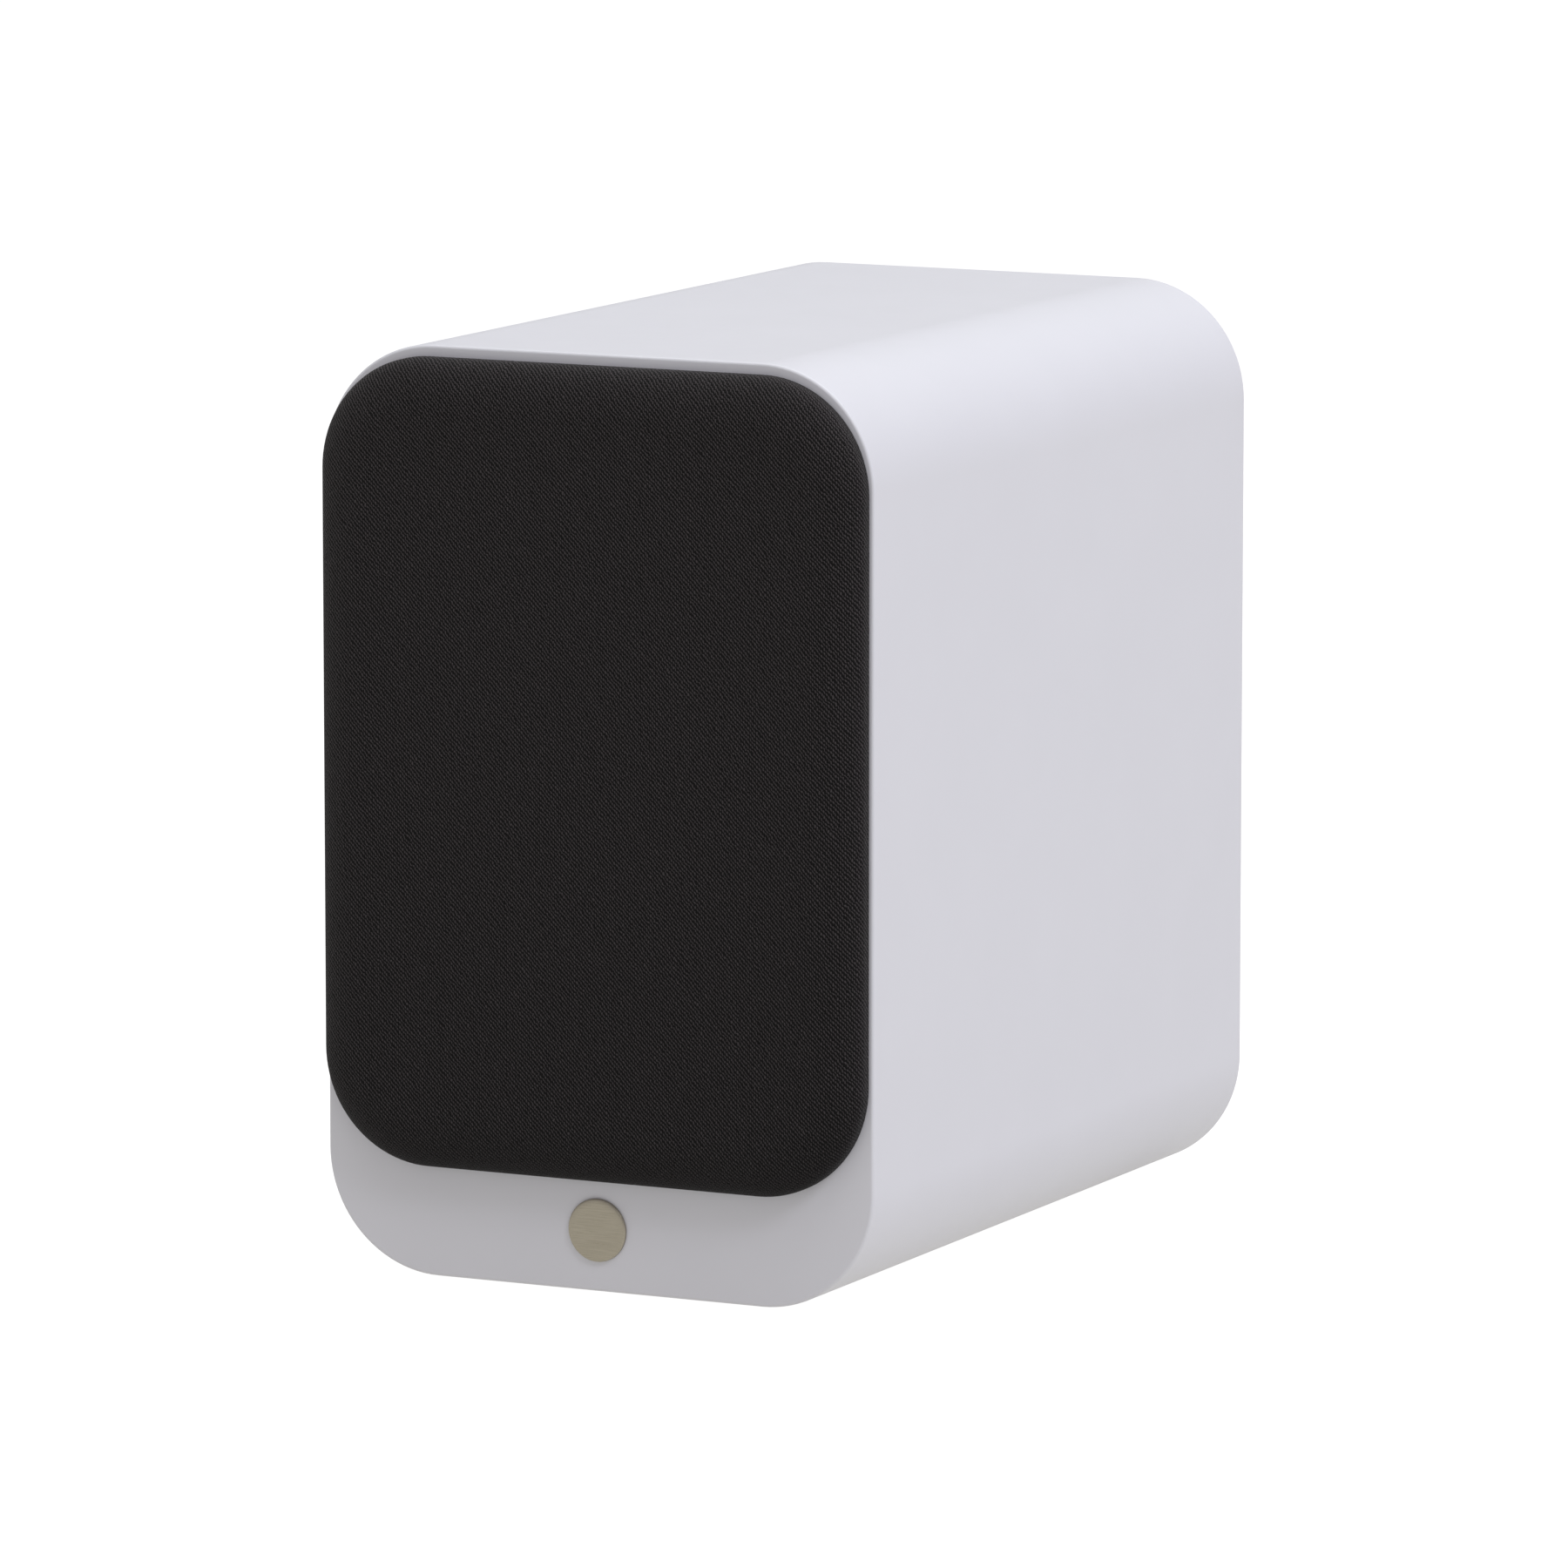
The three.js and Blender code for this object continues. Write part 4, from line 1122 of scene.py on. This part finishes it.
def port_tube(box):
    """A straight tube that opens into a rounded flare and a thin flange."""
    flare_start, outer = box.back - FLARE_DEPTH, PORT_BORE + PORT_WALL
    flare = (PORT_FLARE, FLARE_DEPTH)
    last = math.degrees(math.asin(1 - FLANGE / FLARE_DEPTH))
    inside = arc((PORT_BORE + PORT_FLARE, flare_start), flare, 180, 90, 24)
    outside = arc((outer + PORT_FLARE, flare_start), flare, 180 - last, 180, 24)
    rim = [(box.radius, box.back, 0.7), (box.radius, box.back - FLANGE, 0.2)]
    profile = [(PORT_BORE, box.front, 0.6), *inside, *rim, *outside, (outer, box.front, 0.6)]
    return around(box, profile, steps=160)


def terminal_cup(box):
    """A moulded cup, sunk in the rear panel, with a plus and a minus beside the posts."""
    mouth = CUP_EDGE.inset(CUP_FRAME)
    mouth.radius = 4
    under, floor_depth = box.back - FLANGE, box.back - CUP_RECESS
    sections = [
        (mouth, 9, floor_depth),
        (mouth, 1, floor_depth, 1.6),
        (mouth, 0, box.back, 1.0),
        (CUP_EDGE, 0, box.back, 0.8),
        (CUP_EDGE, 0, under, 0.2),
        (mouth, -CUP_WALL, under, 0.5),
        (mouth, 1 - CUP_WALL, floor_depth - CUP_WALL, 1.5),
        (mouth, 9, floor_depth - CUP_WALL),
    ]
    post_hole = bore(POST_RADIUS + 0.3, floor_depth - CUP_WALL, floor_depth, 0.1, 48)
    screw_hole = bore(1.9, under, box.back, 0.25, 32)
    holes = [at_node(node, post_hole) for node in POSTS] + [at_node(node, screw_hole) for node in CUP_SCREWS]
    cup = cut(loft(sections, steps=12), *holes)
    for x, upright in ((9.5, True), (-9.5, False)):
        cup += mark(upright).moved(x, floor_depth, box.z + 16.5)
    return cup


def mark(upright):
    """A raised minus that stands on depth 0, or a plus if it has an upright stroke too."""
    long, wide, high, sunk = 2.2, 0.45, 0.35, 0.02

    def stroke(width, height, radius):
        flat = Outline(0, 0, width, height, radius)
        return loft([(flat, 0, 0), (flat, 0, high, 0.12), (flat, wide * 0.6, high)], steps=4)

    shape = stroke(2 * long, 2 * wide, wide * 0.8)
    if upright:
        half = stroke(2 * wide, long - wide, wide * 0.5)
        for side in (-1, 1):
            shape += half.moved(z=side * (long + wide) / 2)
    return shape.moved(depth=-sunk)


def post_stud(box):
    """A threaded stud with a collar, an axial plug socket and a solder tail."""
    floor_depth = box.back + 3 - CUP_RECESS
    collar = Box("post_washer_red").front - 0.3
    pitch, socket, tail = 0.7, 2, 1.6
    profile = [(0, floor_depth + 3), (socket, floor_depth + 3, 0.2)]
    profile += [(socket, box.back, 0.3), (POST_RADIUS, box.back, 0.35)]
    depth = box.back - 1
    while depth > collar + pitch:
        profile += [(POST_RADIUS, depth), (POST_RADIUS - 0.22, depth - pitch / 2)]
        depth -= pitch
    profile += [(POST_RADIUS, collar), (5.5, collar, 0.4), (5.5, floor_depth + 0.3, 0.3)]
    profile += [(POST_RADIUS, floor_depth + 0.3), (POST_RADIUS, floor_depth - 3.5, 0.3)]
    profile += [(tail, floor_depth - 3.5), (tail, box.front, 0.5), (0, box.front)]
    return around(box, profile, steps=64)


def post_knob(box):
    """A fluted knob with a smooth skirt and a bore for the stud."""
    radius, hole = box.width / 2, POST_RADIUS + POST_CLEARANCE
    front, skirt, back = box.front, box.front + 3.2, box.back
    flutes, deep, steps = 12, 0.85, 144
    profile = [  # radius, depth, and the share of the flutes' full depth
        (hole, front + 0.3, 0),
        (hole + 0.3, front, 0),
        (radius - 0.8, front, 0),
        (radius - 0.2, front + 0.25, 0),
        (radius, front + 0.8, 0),
        (radius, skirt - 0.6, 0),
        (radius - 0.1, skirt, 0.2),
        (radius - 0.15, skirt + 0.8, 1),
        (radius - 0.15, back - 1.6, 1),
        (radius - 0.45, back - 0.7, 1),
        (radius - 1.1, back - 0.15, 0.6),
        (radius - 1.9, back, 0.1),
        (hole + 0.6, back, 0),
        (hole, back - 0.5, 0),
    ]
    rings = [[] for _ in profile]
    for ring, (r, depth, share) in zip(rings, profile):
        for i in range(steps):
            angle = 2 * math.pi * i / steps
            groove = abs(math.sin(flutes * angle / 2)) ** 0.8
            here = r - deep * share * (1 - groove)
            ring.append((here * math.sin(angle), depth, here * math.cos(angle)))
    return skin(rings, closed=True).moved(box.x, 0, box.z)


show("port_tube", port_tube, "black_plastic")
show("terminal_cup", terminal_cup, "black_plastic")
for tint, slot in (("red", "red_plastic"), ("black", "black_plastic")):
    show(f"post_stud_{tint}", post_stud, "brass")
    washer = {"inner": POST_RADIUS + POST_CLEARANCE, "fillet": 0.2}
    show(f"post_washer_{tint}", ring, "brass", f"{tint}_washer", **washer)
    show(f"post_knob_{tint}", post_knob, slot, f"{tint}_knob")

# ---- crossover and leads


def crossover_board(box):
    """A small board that hangs on the tails of the two posts."""
    tail_hole = bore(2, box.front, box.back, 0.1, 32)
    return cut(small_plate(box, 0.15), *(at_node(node, tail_hole) for node in POSTS))


def crossover_inductor(box):
    """An air-cored coil of thick wire: each layer of turns shows as a bead."""
    inner, turns = 6, 12
    pitch = (box.back - box.front) / turns
    bead = pitch / 2
    outer = []
    for turn in range(turns):
        centre = (box.radius - bead, box.front + pitch * (turn + 0.5))
        outer += arc(centre, (bead, bead), -80, 80, 6)
    layers = [box.radius - bead - pitch * i for i in range(int((box.radius - inner) / pitch))]
    reach, first, last = (bead * 0.9, bead), box.front + bead, box.back - bead
    back = [p for r in layers for p in arc((r, last), reach, 80, 170, 4)[1:]]
    front = [p for r in reversed(layers) for p in arc((r, first), reach, -170, -80, 4)[:-1]]
    return around(box, [*outer, *back, (inner, last), (inner, first), *front], steps=64)


def lying_on_side(box, shape):
    """Turns a piece made along Y so that it lies along X in the middle of its box."""
    return shape.spun(90, "Z").moved(box.x, (box.front + box.back) / 2, box.z)


def crossover_capacitor(box):
    """A round body with a sunk filling at each end."""
    half, radius, sunk = box.width / 2, box.height / 2, 0.8
    filling, lip = radius - 1.4, radius - 0.9
    end = [(0, sunk - half), (filling, sunk - half, 0.3), (lip, -half, 0.3), (radius, -half, 0.8)]
    return lying_on_side(box, turned([*end, *mirrored(end)], 64))


def crossover_resistor(box):
    """A square cast body with rounded edges and a slightly sunk filling."""
    half, sunk = box.width / 2, 0.5
    section = Outline(0, 0, box.back - box.front, box.height, 0.9)
    end = [(2.2, sunk - half), (0.9, sunk - half, 0.2), (0.7, -half, 0.2), (0, -half, 0.5)]
    body = loft([(section, *place) for place in (*end, *mirrored(end))], steps=6)
    return lying_on_side(box, body)


LEAD_RADIUS = 1.75
BOARD_FRONT = Box("crossover_board").front
LEADS = {  # (x, depth, z) from the board to the driver
    "woofer_lead": [
        *((-34, BOARD_FRONT - 0.6, 104), (-34, BOARD_FRONT - 6, 104), (-42, 216, 108), (-51, 190, 110)),
        *((-51, 150, 106), (-49, 124, 104), (-52, 92, 112), (-49, 64, 124), (-46, 47, 130)),
    ],
    "tweeter_lead": [
        *((34, BOARD_FRONT - 0.6, 104), (34, BOARD_FRONT - 6, 104), (44, 214, 114), (54, 190, 140)),
        *((52, 150, 178), (46, 124, 200), (34, 90, 216), (16, 52, 226), (6, 26, 230)),
    ],
}


def between(p, q, start, end, s):
    """The point at s on the line through p at start and q at end."""
    return p * ((end - s) / (end - start)) + q * ((s - start) / (end - start))


def catmull_rom(route, steps=8):
    """A smooth line through the route's points, centripetal as in the CAD."""
    places = [Vector(place) for place in route]
    ends = [2 * places[0] - places[1], *places, 2 * places[-1] - places[-2]]
    line = []
    for a, b, c, d in zip(ends, ends[1:], ends[2:], ends[3:]):
        t = [0.0]
        for p, q in ((a, b), (b, c), (c, d)):
            t.append(t[-1] + math.sqrt((q - p).length))
        for i in range(steps):
            s = t[1] + (t[2] - t[1]) * i / steps
            ab, bc = between(a, b, t[0], t[1], s), between(b, c, t[1], t[2], s)
            cd = between(c, d, t[2], t[3], s)
            abc, bcd = between(ab, bc, t[0], t[2], s), between(bc, cd, t[1], t[3], s)
            line.append(between(abc, bcd, t[1], t[2], s))
    return [*line, ends[-2]]


def twin_lead(route):
    """Two insulated cores side by side, slowly twisted round each other."""
    line = catmull_rom(route)
    core, sides, lay = LEAD_RADIUS / 2, 12, 14  # lay is the length of one full twist
    lead = Shape([], [])
    for half_turn in (0, math.pi):
        across, walked, rings = Vector((0, 0, 1)), 0.0, []
        for i, here in enumerate(line):
            along = (line[min(i + 1, len(line) - 1)] - line[max(i - 1, 0)]).normalized()
            walked += (here - line[i - 1]).length if i else 0
            across = (across - along * across.dot(along)).normalized()
            other = along.cross(across)
            twist = half_turn + walked / lay * 2 * math.pi
            centre = here + (across * math.cos(twist) + other * math.sin(twist)) * core * 0.98
            spokes = [2 * math.pi * k / sides for k in range(sides)]
            spokes = [(across * math.cos(a) + other * math.sin(a)) * core * 0.97 for a in spokes]
            rings.append([centre + spoke for spoke in spokes])
        lead += skin(rings)
    return lead


show("crossover_board", crossover_board, "circuit_board")
show("crossover_inductor", crossover_inductor, "copper_wire")
show("crossover_capacitor", crossover_capacitor, "film_capacitor")
show("crossover_resistor", crossover_resistor, "resistor_ceramic")
for name, route in LEADS.items():
    show(name, twin_lead(route), "cable_jacket")

# ---- stage

FLOOR_BOUNCE = "#959598"
FLOOR_GLOW = 0.46  # what the lit table under the speaker adds to its underside
WORLD_FILL = 0.385
MIDDLE = (0, 0, 0.14)
SOFTBOXES = {  # place and size in metres, watts, colour
    "overhead": ((0.1, 0.1, 1.9), 2.2, 24.4, "#fbfffd"),
    "right_side": ((2.4, 0.5, 0.9), 1.8, 9.6, "#ebeefe"),
    "right_key": ((2.0, -1.1, 2.15), 0.7, 20.9, "#f5f5ff"),
}
CAMERA = {"lens": 253.0026, "place": (1.482888, -3.019063, 0.648396), "tilt": 81.397661, "turn": 26.178963}


def floor():
    """A wide white table, paler to the camera than to the speaker."""
    reach = 60
    mesh = bpy.data.meshes.new("floor")
    corners = [(x * reach, z * reach, 0) for x, z in ((-1, -1), (1, -1), (1, 1), (-1, 1))]
    mesh.from_pydata(corners, [], [(0, 1, 2, 3)])
    f = Finish("studio_floor", roughness=0.9, specular=0.0)
    seen = f.node("LightPath").outputs["Is Camera Ray"]
    f.paint(f.blend(seen, FLOOR_BOUNCE, "#8b8b8b"))
    f.feed(f.shader.inputs["Emission Color"], f.blend(seen, "#fffcf1", "#ffffff"))
    f.feed(f.shader.inputs["Emission Strength"], f.span(seen, FLOOR_GLOW, 0.93))
    mesh.materials.append(f.material)
    linked("floor", mesh)


def studio_world():
    """White to the camera, and a soft even fill to the object."""
    world = bpy.data.worlds.new("studio")
    bpy.context.scene.world = world
    world.use_nodes = True
    tree = world.node_tree
    background = tree.nodes["Background"]
    background.inputs["Color"].default_value = colour("#fffbfd")
    seen = tree.nodes.new("ShaderNodeLightPath").outputs["Is Camera Ray"]
    span = tree.nodes.new("ShaderNodeMapRange")
    tree.links.new(seen, span.inputs["Value"])
    span.inputs["To Min"].default_value = WORLD_FILL
    span.inputs["To Max"].default_value = 1.2
    tree.links.new(span.outputs["Result"], background.inputs["Strength"])


def softbox(name, place, size, power, tint):
    """A square area light aimed at the speaker."""
    data = bpy.data.lights.new(name, "AREA")
    data.shape, data.size, data.size_y = "RECTANGLE", size, size
    data.energy, data.color = power, colour(tint)[:3]
    lamp = linked(name, data)
    lamp.location = place
    lamp.rotation_euler = (Vector(MIDDLE) - Vector(place)).to_track_quat("-Z", "Y").to_euler()


def camera():
    data = bpy.data.cameras.new("camera")
    data.sensor_width, data.lens = 36, CAMERA["lens"]
    obj = linked("camera", data)
    obj.location = CAMERA["place"]
    obj.rotation_euler = (math.radians(CAMERA["tilt"]), 0, math.radians(CAMERA["turn"]))
    bpy.context.scene.camera = obj


floor()
studio_world()
for name, light in SOFTBOXES.items():
    softbox(name, *light)
camera()
bpy.context.scene.view_settings.view_transform = "Standard"
